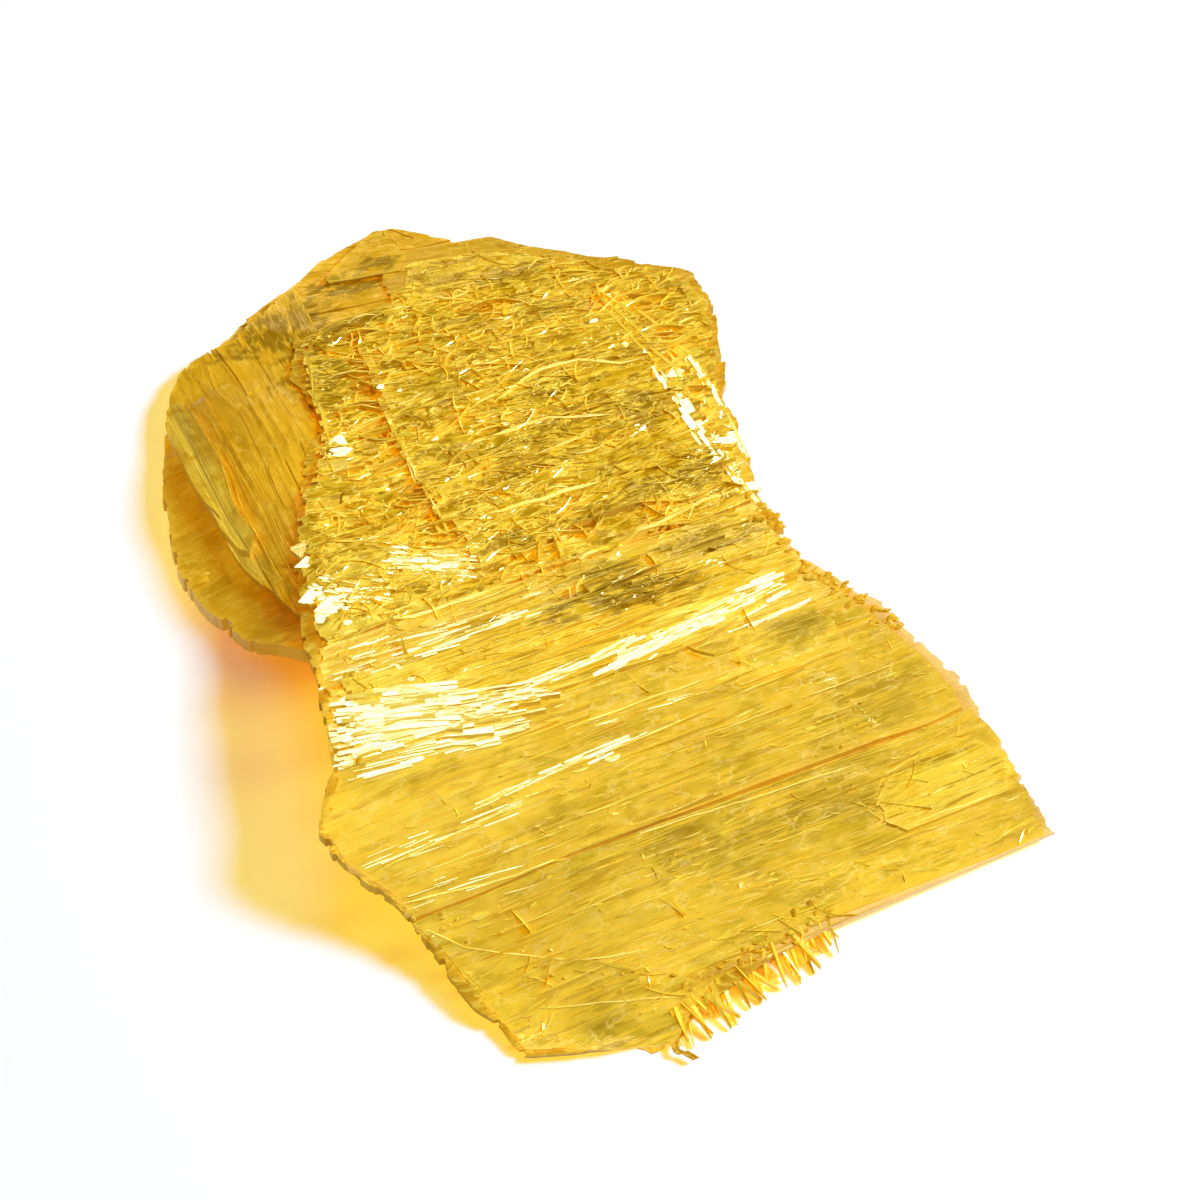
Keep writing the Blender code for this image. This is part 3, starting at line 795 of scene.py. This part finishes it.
# level laths that flash white: from, to, spread to both sides, count, lengths, widths
streaks = {
    "bands": (
        ((-14.6, -2.4), (-9.6, -3.8), 1.1, 230, (1.0, 4.6), (0.08, 0.46)),
        ((-14.9, -4.0), (-7.6, -5.0), 0.8, 190, (1.0, 4.6), (0.08, 0.40)),
        ((-9.6, -3.6), (-5.4, -4.6), 0.5, 50, (0.6, 3.0), (0.06, 0.26)),
        ((-7.6, -4.2), (-1.0, -3.8), 0.3, 34, (0.8, 3.0), (0.08, 0.22)),
        ((-1.7, -4.1), (6.8, -3.2), 0.5, 80, (0.6, 3.0), (0.08, 0.36)),
        ((4.5, -4.6), (8.0, -4.3), 0.1, 10, (0.8, 2.2), (0.08, 0.18)),
        ((-13.8, -0.2), (-3.0, -0.6), 1.0, 60, (0.6, 2.6), (0.05, 0.18)),
        ((-15.0, -8.9), (-8.0, -8.6), 0.6, 16, (0.8, 3.6), (0.05, 0.12)),
        ((-9.6, -8.1), (-2.6, -7.6), 0.2, 26, (0.8, 2.6), (0.06, 0.22)),
        ((-3.2, -6.5), (1.6, -6.7), 0.15, 10, (0.8, 2.4), (0.06, 0.14)),
        ((-14.4, -10.9), (-7.6, -10.9), 0.8, 10, (0.5, 3.0), (0.04, 0.09)),
        ((7.0, 10.0), (7.0, 6.9), 0.3, 20, (0.5, 1.6), (0.10, 0.26)),
        ((7.0, 6.9), (7.7, 2.4), 0.4, 36, (0.6, 2.2), (0.14, 0.40)),
        ((8.8, 9.6), (8.6, 2.2), 0.25, 26, (0.5, 2.0), (0.10, 0.26)),
        ((-8.6, 4.6), (-5.0, 2.9), 0.9, 110, (0.2, 1.2), (0.06, 0.30)),
        ((-12.4, 4.6), (-9.4, 2.8), 0.8, 60, (0.2, 1.0), (0.06, 0.28)),
    ),
    "swing": 2.5, "depth": 0.40, "lean": 0.012, "fall": -0.05, "stations": 5, "narrowing": (0.55, 1.0),
    "lift": 0.03, "liftShare": 0.13, "lowest": 0.8, "scatter": 0.5, "shortPower": 1.6,
    "crisp": 25.0, "seed": 53,
}


def makeStreaks(name, form, trees):
    rng = np.random.default_rng(form["seed"])
    heap = startHeap()
    share = np.linspace(-0.5, 0.5, form["stations"])
    for start, end, spread, count, lengths, sizes in form["bands"]:
        heading = math.atan2(end[1] - start[1], end[0] - start[0])
        for number in range(count):
            at = rng.uniform()
            offset = rng.normal(0.0, form["scatter"]) * spread
            along = start[0] + (end[0] - start[0]) * at - offset * math.sin(heading)
            across = start[1] + (end[1] - start[1]) * at + offset * math.cos(heading)
            turn = heading + math.radians(rng.normal(0.0, form["swing"]))
            length = mostlyLow(rng, lengths, form["shortPower"])
            alongs = along + share * length * math.cos(turn)
            acrosses = across + share * length * math.sin(turn)
            heights = readHeights(trees, alongs, acrosses)
            if heights.min() < form["lowest"]:
                continue
            heights = np.mean(heights) + share * (form["fall"] * length * math.cos(heading) ** 2)
            width = rng.uniform(*sizes)
            widths = width * rng.uniform(*form["narrowing"], form["stations"])
            lean = rng.normal(0.0, form["lean"]) * width
            lift = form["lift"] + form["liftShare"] * width
            addSliver(heap, alongs, acrosses, heights, widths, lift, form["depth"], lean)
    return finishHeap(name, heap, form["crisp"])


# torn fibres hanging off the short lower right edge
fringe = {
    "path": ((-5.6, -19.5), (-4.3, -19.1), (-1.9, -18.6), (0.3, -18.2), (2.7, -17.8)),
    "count": 60, "turn": -80.0, "swing": 20.0, "length": (0.4, 2.1), "width": (0.06, 0.30),
    "depth": 0.30, "root": 0.9, "tip": 0.35, "inside": 0.4, "scatter": 0.2, "lean": 0.06,
    "taper": (0.8, 1.0, 0.9, 0.7, 0.3), "uneven": 0.4, "clearance": 0.05, "crisp": 25.0, "seed": 41,
}


def makeFringe(name, form):
    rng = np.random.default_rng(form["seed"])
    heap = startHeap()
    knots = np.array(form["path"])
    steps = np.linspace(0.0, 1.0, len(form["taper"]))
    for number in range(form["count"]):
        share = (number + rng.uniform(-form["uneven"], form["uneven"])) / form["count"]
        along = knots[0, 0] + (knots[-1, 0] - knots[0, 0]) * share
        across = np.interp(along, knots[:, 0], knots[:, 1]) + form["inside"]
        turn = math.radians(form["turn"] + rng.normal(0.0, form["swing"]))
        length = rng.uniform(*form["length"])
        alongs = along + steps * length * math.cos(turn)
        acrosses = across + steps * length * math.sin(turn)
        drop = rng.uniform(-form["scatter"], form["scatter"])
        heights = form["root"] + (form["tip"] - form["root"]) * steps + drop
        widths = rng.uniform(*form["width"]) * np.array(form["taper"])
        depth = np.clip(heights - form["clearance"], form["clearance"], form["depth"])
        lean = rng.uniform(-form["lean"], form["lean"])
        addSliver(heap, alongs, acrosses, heights, widths, 0.0, depth, lean)
    return finishHeap(name, heap, form["crisp"])


# small broken crystals along the crumbled edges: paths of (along, across) points, count, spread, sizes
crumbs = {
    "paths": (
        (((8.2, 1.6), (8.4, -1.2), (9.0, -3.0)), 50, 0.45, (0.18, 0.50)),
        (((8.5, -2.4), (10.0, -4.8), (11.2, -6.6)), 90, 0.40, (0.14, 0.44)),
        (((-14.2, -4.6), (-13.0, -1.0), (-12.0, 3.4), (-11.2, 7.0)), 50, 0.35, (0.12, 0.34)),
        (((-4.6, -18.6), (-1.0, -18.2), (2.8, -17.6)), 40, 0.4, (0.14, 0.40)),
        (((-14.6, -10.2), (-11.0, -13.6), (-6.0, -18.4)), 30, 0.5, (0.10, 0.26)),
        (((-6.0, 1.6), (-6.4, 8.0), (-7.6, 15.0)), 50, 0.8, (0.10, 0.26)),
        (((2.0, 8.0), (5.0, 14.0)), 50, 3.0, (0.08, 0.20)),
        (((6.0, -9.6), (8.6, -10.2)), 16, 0.5, (0.08, 0.20)),
    ),
    "shape": (1.5, 0.8, 0.6), "uneven": (0.7, 1.2), "turn": 0.7, "proud": 0.1, "lowest": 0.5,
    "crisp": 5.0, "seed": 43,
}
# level mirrors of cleavage that flash in the light, and duller scales that lie less level
mirrors = {
    "spots": (
        ((-8.6, 11.3), 0.75), ((-8.1, 12.0), 0.5), ((-8.9, 10.5), 0.6),
        ((-11.9, 6.8), 0.6), ((-12.1, 6.0), 0.5),
        ((-12.4, 4.2), 0.7), ((-11.9, 3.4), 0.7), ((-12.5, 3.0), 0.5), ((-11.1, 3.9), 0.5),
        ((-13.2, -1.6), 0.8), ((-12.6, -2.6), 0.8), ((-13.6, -3.4), 0.6), ((-11.3, -3.2), 0.6),
        ((-3.4, -8.1), 0.35), ((-11.5, -12.1), 0.35), ((-14.3, -11.0), 0.3), ((7.6, 9.4), 0.45),
        ((7.9, 7.6), 0.5), ((8.1, 5.2), 0.6), ((7.8, 3.6), 0.6), ((8.3, 2.4), 0.5),
    ),
    "scattered": 700, "reach": (0.04, 0.26), "along": (-12.0, 9.0), "across": (-3.6, 16.0),
    "crowd": 0.15, "smallPower": 3, "thick": 0.05, "tip": 2.4, "margin": 1.5, "drawnOut": (1.3, 0.8),
    "lift": 0.03, "root": 0.25, "lowest": 0.5, "corners": (5, 8), "uneven": (0.55, 1.0),
    "crisp": 5.0, "seed": 47,
}
scales = {
    **mirrors, "spots": (),
    "scattered": 520, "reach": (0.12, 0.75), "along": (-8.0, 8.6), "across": (1.6, 19.5),
    "crowd": -0.5, "thick": 0.06, "tip": 7.0, "seed": 59,
}


def shapeCrumb():
    # corners and faces of an icosahedron, each corner one unit from its middle
    golden, neighbour = (1.0 + 5.0 ** 0.5) / 2.0, 1.2
    corners = []
    for a in (-1.0, 1.0):
        for b in (-golden, golden):
            corners += [(0.0, a, b), (a, b, 0.0), (b, 0.0, a)]
    corners = np.array(corners) / math.hypot(1.0, golden)
    near = np.linalg.norm(corners[:, None] - corners[None], axis=2) < neighbour
    faces = [
        [i, j, k] for i in range(12) for j in range(i + 1, 12) for k in range(j + 1, 12)
        if near[i, j] and near[j, k] and near[i, k]
    ]
    return corners, faces


def makeCrumbs(name, form, trees):
    rng = np.random.default_rng(form["seed"])
    corners, faces = shapeCrumb()
    heap = startHeap()
    for path, count, spread, sizes in form["paths"]:
        knots = np.array(path)
        steps = walkAlong(knots)
        for number in range(count):
            at = rng.uniform(0.0, steps[-1])
            along = np.interp(at, steps, knots[:, 0]) + rng.normal(0.0, spread)
            across = np.interp(at, steps, knots[:, 1]) + rng.normal(0.0, spread)
            height = readHeights(trees, [along], [across])[0]
            size = rng.uniform(*sizes) * np.array(form["shape"])
            if height < form["lowest"]:
                continue
            shape = corners * size * rng.uniform(*form["uneven"], (len(corners), 1)) / 2
            turn = rng.uniform(-form["turn"], form["turn"])
            points = np.column_stack((
                along + shape[:, 0] * math.cos(turn) - shape[:, 1] * math.sin(turn),
                across + shape[:, 0] * math.sin(turn) + shape[:, 1] * math.cos(turn),
                height + shape[:, 2] + form["proud"] * size[2],
            ))
            addToHeap(heap, points, faces, points[:, :2] + number)
    return finishHeap(name, heap, form["crisp"])


def makeMirrors(name, form, trees):
    # level plates lying in the cleavage
    rng = np.random.default_rng(form["seed"])
    spots = list(form["spots"])
    for number in range(form["scattered"]):
        along, across = rng.uniform(*form["along"]), rng.uniform(*form["across"])
        crowd = bumps("mirrorCrowd", np.array([along]), np.array([across]), form["seed"])[0]
        if crowd > form["crowd"] and along > readOutline(plateLeft, across) + form["margin"]:
            spots.append(((along, across), mostlyLow(rng, form["reach"], form["smallPower"])))
    heap = startHeap()
    for (along, across), reach in spots:
        height = readHeights(trees, [along], [across])[0]
        if height < form["lowest"]:
            continue
        sides = rng.integers(*form["corners"])
        angles = np.sort(rng.uniform(0.0, 1.0, sides) + np.arange(sides)) / sides * 2.0 * math.pi
        radii = reach * rng.uniform(*form["uneven"], sides)
        u = radii * np.cos(angles) * form["drawnOut"][0]
        v = radii * np.sin(angles) * form["drawnOut"][1]
        slopes = np.radians(rng.normal(0.0, form["tip"], 2))
        rise = u * slopes[0] + v * slopes[1] + form["lift"]
        top = np.column_stack((along + u, across + v, height + rise))
        base = top - np.array((0.0, 0.0, form["thick"] + form["root"]))
        ring = list(range(sides))
        faces = [ring, [corner + sides for corner in ring[::-1]]]
        for k in ring:
            after = (k + 1) % sides
            faces.append([after, k, k + sides, after + sides])
        points = np.concatenate((top, base))
        addToHeap(heap, points, faces, points[:, :2])
    return finishHeap(name, heap, form["crisp"])


def addNode(tree, kind, sockets=None, **settings):
    # a socket is linked where its value is another node's socket, and otherwise gets the value itself
    node = tree.nodes.new("ShaderNode" + kind)
    for key, value in settings.items():
        setattr(node, key, value)
    for key, value in (sockets or {}).items():
        if isinstance(value, bpy.types.NodeSocket):
            tree.links.new(value, node.inputs[key])
        else:
            node.inputs[key].default_value = value
    return node


def moveVector(tree, operation, sockets):
    return addNode(tree, "VectorMath", sockets, operation=operation).outputs["Vector"]


def combine(tree, operation, sockets):
    return addNode(tree, "Math", sockets, operation=operation).outputs["Value"]


def startPattern(name, inputs):
    # a group that puts out a mask; it reads the strata map, scaled by its own Along and Across
    tree = bpy.data.node_groups.new(name, "ShaderNodeTree")
    for label, value in inputs.items():
        socket = tree.interface.new_socket(label, in_out="INPUT", socket_type="NodeSocketFloat")
        socket.default_value = value
    tree.interface.new_socket("Mask", in_out="OUTPUT", socket_type="NodeSocketFloat")
    given = tree.nodes.new("NodeGroupInput").outputs
    strata = addNode(tree, "UVMap", uv_map="strata")
    scale = addNode(tree, "CombineXYZ", {"X": given["Along"], "Y": given["Across"], "Z": 1.0})
    place = moveVector(tree, "MULTIPLY", {0: strata.outputs["UV"], 1: scale.outputs["Vector"]})
    return tree, given, place


def finishPattern(tree, sockets):
    # cut a smooth mask out of a value
    cut = addNode(tree, "MapRange", sockets, interpolation_type="SMOOTHSTEP")
    tree.links.new(cut.outputs["Result"], tree.nodes.new("NodeGroupOutput").inputs["Mask"])
    return tree


def makeStriaGroup():
    # noise drawn out along the striae; Along and Across are bumps per centimetre
    tree, given, place = startPattern(
        "striaPattern", {"Along": 1.0, "Across": 30.0, "Low": 0.4, "High": 0.6},
    )
    noise = addNode(tree, "TexNoise", {
        "Vector": place, "Scale": 1.0, "Detail": 3.0, "Roughness": 0.62, "Distortion": 0.15,
    }, noise_dimensions="2D")
    return finishPattern(
        tree, {"Value": noise.outputs["Fac"], "From Min": given["Low"], "From Max": given["High"]},
    )


def makeCrackGroup():
    # thin wandering lines between small broken cells
    tree, given, place = startPattern(
        "crackPattern", {"Along": 6.0, "Across": 25.0, "Width": 0.08, "Twist": 0.6},
    )
    bend = addNode(tree, "TexNoise", {
        "Vector": place, "Scale": 1.3, "Detail": 2.0, "Roughness": 0.6,
    }, noise_dimensions="2D")
    centred = moveVector(tree, "SUBTRACT", {0: bend.outputs["Color"], 1: (0.5, 0.5, 0.5)})
    amount = moveVector(tree, "SCALE", {0: centred, "Scale": given["Twist"]})
    cells = addNode(tree, "TexVoronoi", {
        "Vector": moveVector(tree, "ADD", {0: place, 1: amount}), "Scale": 1.0,
    }, feature="DISTANCE_TO_EDGE", voronoi_dimensions="2D")
    return finishPattern(tree, {
        "Value": cells.outputs["Distance"], "From Max": given["Width"], "To Min": 1.0, "To Max": 0.0,
    })


def placeGroup(tree, group, size, **values):
    # mask of a pattern with so many bumps per centimetre along and across
    node = addNode(tree, "Group", {"Along": size[0], "Across": size[1], **values}, node_tree=group)
    return node.outputs["Mask"]


def readMark(tree, label):
    return addNode(tree, "Attribute", attribute_name=label).outputs["Fac"]


def mixColor(tree, under, color, mask, strength):
    # lay a colour over another where the mask says
    share = combine(tree, "MULTIPLY", {0: mask, 1: strength})
    return addNode(tree, "Mix", {"Factor": share, "A": under, "B": color}, data_type="RGBA").outputs["Result"]


def addHeights(tree, parts):
    # sum of masks, each with its own share of the bump
    total = 0.0
    for mask, share in parts:
        total = combine(tree, "MULTIPLY_ADD", {0: mask, 1: share, 2: total})
    return total


# which values of each striated pattern its mask grows between
cuts = {
    "clouds": (0.44, 0.60), "grain": (0.44, 0.58), "gaps": (0.52, 0.64),
    "hairs": (0.54, 0.62), "holes": (0.36, 0.48), "regions": (0.44, 0.58),
}
# how much of the bump each mask makes; a slit goes down
bumpShares = {"slits": -0.5, "fibres": 0.35, "veins": 0.5, "mottle": 0.3}


def makeOrpiment(name, finish, striaGroup, crackGroup):
    material = bpy.data.materials.new(name)
    material.use_nodes = True
    tree = material.node_tree
    tree.nodes.clear()
    clouds, mottle, slits, fibres, holes, where = [
        placeGroup(tree, striaGroup, finish[pattern], Low=low, High=high)
        for pattern, (low, high) in cuts.items()
    ]
    veins = placeGroup(tree, crackGroup, finish["net"], Width=0.10, Twist=1.3)
    someVeins = combine(tree, "MULTIPLY", {0: veins, 1: where})
    # the dark marks, broken up by holes: the stone's dark olive with painted shade
    oliveAndShadeMask = combine(tree, "MULTIPLY", {0: readMark(tree, "dark"), 1: holes})
    color = finish["gold"]
    # painted light in the layers: a painted highlight over the light marks, painted shade with the dark
    # olive, painted shade in the slits, painted glints off inner cracks along the bright fibres and pale
    # veins, and a painted glow on the rims
    for tint, mask, amount in (
        ("olive", clouds, "clouded"), ("honey", mottle, "mottled"),
        ("paintedHighlight", readMark(tree, "light"), "lit"), ("oliveAndShade", oliveAndShadeMask, "shaded"),
        ("slitShade", slits, "slit"), ("bright", fibres, "fibrous"),
        ("pale", someVeins, "veined"), ("edge", readMark(tree, "rim"), "rimGlow"),
    ):
        color = mixColor(tree, color, finish[tint], mask, finish[amount])
    roughness = addNode(
        tree, "MapRange", {"Value": mottle, "To Min": finish["smoothest"], "To Max": finish["roughest"]},
    )
    heights = addHeights(tree, (
        (slits, bumpShares["slits"]), (fibres, bumpShares["fibres"]),
        (someVeins, finish["veined"] * bumpShares["veins"]), (mottle, bumpShares["mottle"]),
    ))
    bump = addNode(
        tree, "Bump", {"Strength": finish["bump"], "Distance": finish["relief"] * mm, "Height": heights},
    )
    shader = addNode(tree, "BsdfPrincipled", {
        "Base Color": color, "Roughness": roughness.outputs["Result"], "Normal": bump.outputs["Normal"],
        "IOR": finish["bend"], "Specular Tint": finish["gleam"], "Transmission Weight": finish["clear"],
    })
    # lamps shine through the thin flake and get its colour
    letLight = addNode(tree, "BsdfTransparent", {"Color": finish["shade"]})
    shadowRay = addNode(tree, "LightPath").outputs["Is Shadow Ray"]
    mix = addNode(tree, "MixShader", {0: shadowRay, 1: shader.outputs["BSDF"], 2: letLight.outputs["BSDF"]})
    addNode(tree, "OutputMaterial", {"Surface": mix.outputs["Shader"]})
    return material


# colours of the stone and of the light and shade painted on it, how it bends and passes light, the relief in
# millimetres, and the patterns' bumps per centimetre along and across; each finish says how strongly its
# colours, painted slit shade, painted vein glints and painted rim glow show
orpimentBase = {
    "gold": (0.76, 0.44, 0.014, 1.0),
    "olive": (0.44, 0.31, 0.012, 1.0),
    "honey": (0.86, 0.54, 0.028, 1.0),
    # from here: painted highlight, dark olive with painted shade, painted shade in slits, painted glints
    # along fibres and veins, painted glow on rims
    "paintedHighlight": (0.97, 0.74, 0.080, 1.0),
    "oliveAndShade": (0.22, 0.11, 0.001, 1.0),
    "slitShade": (0.34, 0.16, 0.001, 1.0),
    "bright": (0.92, 0.63, 0.040, 1.0),
    "pale": (0.96, 0.74, 0.100, 1.0),
    "edge": (0.94, 0.64, 0.070, 1.0),
    "shade": (0.925, 0.75, 0.19, 1.0),
    "gleam": (1.0, 0.84, 0.36, 1.0),
    "clear": 0.0, "bend": 2.0, "relief": 0.05,
    "clouds": (2.4, 6.0), "grain": (9.0, 24.0), "gaps": (2.6, 46.0), "hairs": (1.6, 95.0),
    "holes": (7.0, 26.0), "regions": (5.0, 10.0), "net": (9.0, 26.0),
}
orpimentFinishes = {
    "calm": {
        **orpimentBase, "gold": (0.76, 0.56, 0.040, 1.0), "olive": (0.52, 0.40, 0.020, 1.0),
        "honey": (0.84, 0.62, 0.070, 1.0), "pale": (0.96, 0.82, 0.24, 1.0),
        "clouded": 0.6, "mottled": 0.55, "lit": 0.85, "shaded": 0.72,
        "slit": 0.35, "fibrous": 0.7, "veined": 0.45, "rimGlow": 0.75,
        "smoothest": 0.08, "roughest": 0.18, "bump": 0.30, "clear": 0.35, "bend": 1.7,
        "grain": (10.0, 22.0), "net": (7.0, 15.0), "gaps": (2.2, 26.0), "hairs": (3.0, 52.0),
    },
    "silky": {
        **orpimentBase, "clouded": 0.4, "mottled": 0.5, "lit": 0.8, "shaded": 1.0,
        "slit": 0.7, "fibrous": 0.75, "veined": 0.4, "rimGlow": 0.6,
        "smoothest": 0.08, "roughest": 0.16, "bump": 0.3, "bend": 1.65,
    },
    "rough": {
        **orpimentBase, "gold": (0.60, 0.33, 0.005, 1.0), "olive": (0.40, 0.22, 0.002, 1.0),
        "honey": (0.80, 0.50, 0.018, 1.0),
        "clouded": 0.85, "mottled": 0.6, "lit": 0.8, "shaded": 1.0,
        "slit": 0.8, "fibrous": 0.8, "veined": 0.9, "rimGlow": 0.6,
        "smoothest": 0.12, "roughest": 0.24, "bump": 0.7, "bend": 1.6,
        "gaps": (6.0, 30.0), "hairs": (7.0, 44.0), "net": (8.0, 22.0),
    },
    # a deeper, browner copy for sides that face away from the key lamp: painted shade
    "side": {
        **orpimentBase, "gold": (0.70, 0.37, 0.010, 1.0), "olive": (0.54, 0.28, 0.007, 1.0),
        "honey": (0.78, 0.44, 0.018, 1.0), "edge": (0.88, 0.55, 0.040, 1.0),
        "clouded": 0.6, "mottled": 0.4, "lit": 0.5, "shaded": 0.9,
        "slit": 0.10, "fibrous": 0.10, "veined": 0.3, "rimGlow": 0.5,
        "smoothest": 0.16, "roughest": 0.30, "bump": 0.3, "bend": 1.6,
    },
    # the body: darker gold paints shade into the notch at the rear left, and a strong painted glow lights its
    # right rim
    "pale": {
        **orpimentBase, "gold": (0.56, 0.29, 0.007, 1.0), "olive": (0.42, 0.21, 0.005, 1.0),
        "honey": (0.68, 0.38, 0.012, 1.0), "edge": (0.95, 0.66, 0.24, 1.0),
        "clouded": 0.6, "mottled": 0.5, "lit": 0.3, "shaded": 0.6,
        "slit": 0.2, "fibrous": 0.3, "veined": 0.4, "rimGlow": 0.85,
        "smoothest": 0.20, "roughest": 0.35, "bump": 0.3, "bend": 1.5,
        "grain": (9.0, 14.0), "net": (6.0, 11.0),
    },
    # a lighter copy for ledge lines, splinters and the fringe: painted highlight where their edges and fibres
    # catch the light
    "litThread": {
        **orpimentBase, "gold": (0.95, 0.68, 0.045, 1.0), "olive": (0.80, 0.48, 0.012, 1.0),
        "honey": (0.97, 0.78, 0.120, 1.0), "gleam": (1.0, 0.92, 0.60, 1.0),
        "clouded": 0.7, "mottled": 0.5, "lit": 0.7, "shaded": 0.75,
        "slit": 0.1, "fibrous": 0.2, "veined": 0.2, "rimGlow": 0.0,
        "smoothest": 0.06, "roughest": 0.14, "bump": 0.1,
    },
    # a lighter copy for the streaks and mirrors that flash: the lamps' reflections make the flash, and the
    # lighter gold adds painted highlight
    "spark": {
        **orpimentBase, "gold": (0.92, 0.68, 0.10, 1.0), "olive": (0.86, 0.56, 0.03, 1.0),
        "gleam": (1.0, 1.0, 0.96, 1.0),
        "clouded": 0.5, "mottled": 0.3, "lit": 0.3, "shaded": 0.1,
        "slit": 0.1, "fibrous": 0.1, "veined": 0.1, "rimGlow": 0.0,
        "smoothest": 0.06, "roughest": 0.10, "bump": 0.05, "bend": 2.6,
    },
}


# distances in metres; azimuth 0 stands at +Y behind the flake, 90 at +X
studio = {
    "lens": 150.0, "sensor": 36.0, "elevation": 60.0, "distance": 0.225, "target": (0.0, 0.0, 0.0025),
    "floorSize": 3.0, "floorHeight": -0.00002, "paper": (0.93, 0.93, 0.93, 1.0), "paperRoughness": 0.7,
    "fill": (1.0, 0.72, 0.28, 1.0), "fillStrength": 0.22,
    "lamps": (            # name, azimuth, elevation, distance, size, watts, tint
        ("keyLamp", 82.0, 45.0, 0.6, (0.15, 0.15), 5.25, (0.77, 0.86, 1.0)),
        ("rearLamp", 3.0, 58.0, 0.5, (0.24, 0.09), 0.42, (1.0, 0.90, 0.76)),
    ),
}


def addFloor():
    bpy.ops.mesh.primitive_plane_add(size=studio["floorSize"], location=(0.0, 0.0, studio["floorHeight"]))
    floor = bpy.context.object
    floor.name = "floor"
    paper = bpy.data.materials.new("paleFloor")
    paper.use_nodes = True
    shader = paper.node_tree.nodes["Principled BSDF"]
    shader.inputs["Base Color"].default_value = studio["paper"]
    shader.inputs["Roughness"].default_value = studio["paperRoughness"]
    floor.data.materials.append(paper)


def aim(item, target):
    toward = item.location - target
    item.rotation_euler = toward.to_track_quat("Z", "Y").to_euler()


def addLamps():
    for name, azimuth, elevation, distance, size, watts, tint in studio["lamps"]:
        a, e = math.radians(azimuth), math.radians(elevation)
        place = Vector((math.sin(a) * math.cos(e), math.cos(a) * math.cos(e), math.sin(e))) * distance
        bpy.ops.object.light_add(type="AREA", location=place)
        lamp = bpy.context.object
        lamp.name = name
        lamp.data.shape = "RECTANGLE"
        lamp.data.size, lamp.data.size_y = size
        lamp.data.energy = watts
        lamp.data.color = tint
        aim(lamp, Vector((0.0, 0.0, 0.0)))


def addCamera():
    bpy.ops.object.camera_add()
    camera = bpy.context.object
    camera.data.lens = studio["lens"]
    camera.data.sensor_width = studio["sensor"]
    e = math.radians(studio["elevation"])
    target = Vector(studio["target"])
    camera.location = target + Vector((0.0, -math.cos(e), math.sin(e))) * studio["distance"]
    aim(camera, target)
    bpy.context.scene.camera = camera


def addWorld():
    # a faint warm fill for the flake, white for the camera
    world = bpy.data.worlds.new("softStudio")
    world.use_nodes = True
    tree = world.node_tree
    fill = tree.nodes["Background"]
    fill.inputs["Color"].default_value = studio["fill"]
    fill.inputs["Strength"].default_value = studio["fillStrength"]
    white = addNode(tree, "Background", {"Strength": 1.0})
    cameraRay = addNode(tree, "LightPath").outputs["Is Camera Ray"]
    mix = addNode(tree, "MixShader", {
        0: cameraRay, 1: fill.outputs["Background"], 2: white.outputs["Background"],
    })
    tree.links.new(mix.outputs["Shader"], tree.nodes["World Output"].inputs["Surface"])
    world.cycles_visibility.glossy = False
    bpy.context.scene.world = world


addCamera()
addFloor()
addLamps()
addWorld()
bpy.context.scene.view_settings.view_transform = "Standard"
print("stage: studio ready")

striaGroup = makeStriaGroup()
crackGroup = makeCrackGroup()
orpiment = {
    name: makeOrpiment("orpiment_" + name, finish, striaGroup, crackGroup)
    for name, finish in orpimentFinishes.items()
}
counts = []


def enter(piece, finishName, shades=True):
    # every piece belongs to the one body;
    # thin sheets that lie flat on another piece leave the shadow to it
    piece.visible_shadow = shades
    piece.data.materials.append(orpiment[finishName])
    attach(piece, "root")
    triangles = sum(len(face.vertices) - 2 for face in piece.data.polygons)
    counts.append(triangles)
    print("stage:", piece.name, triangles, "triangles")


trees = []
depsgraph = bpy.context.evaluated_depsgraph_get()
for laminaName, form in laminae.items():
    piece = makeLamina(laminaName, form)
    enter(piece, form["finish"], form["shades"])
    if laminaName == "bed":
        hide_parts("orpiment_plate")
    depsgraph.update()
    trees.append(BVHTree.FromObject(piece, depsgraph))
print("stage: laminae laid,", sum(counts), "triangles")

enter(makeLedgeLines("ledgeLines", ledgeLines, trees), "litThread", False)
enter(makeSplinters("splinters", splinters, trees), "litThread")
enter(makeStreaks("streaks", streaks, trees), "spark", False)
enter(makeFringe("fringe", fringe), "litThread")
enter(makeCrumbs("crumbs", crumbs, trees), "side")
enter(makeMirrors("mirrors", mirrors, trees), "spark", False)
enter(makeMirrors("scales", scales, trees), "rough")
print("stage: small pieces laid,", sum(counts), "triangles")
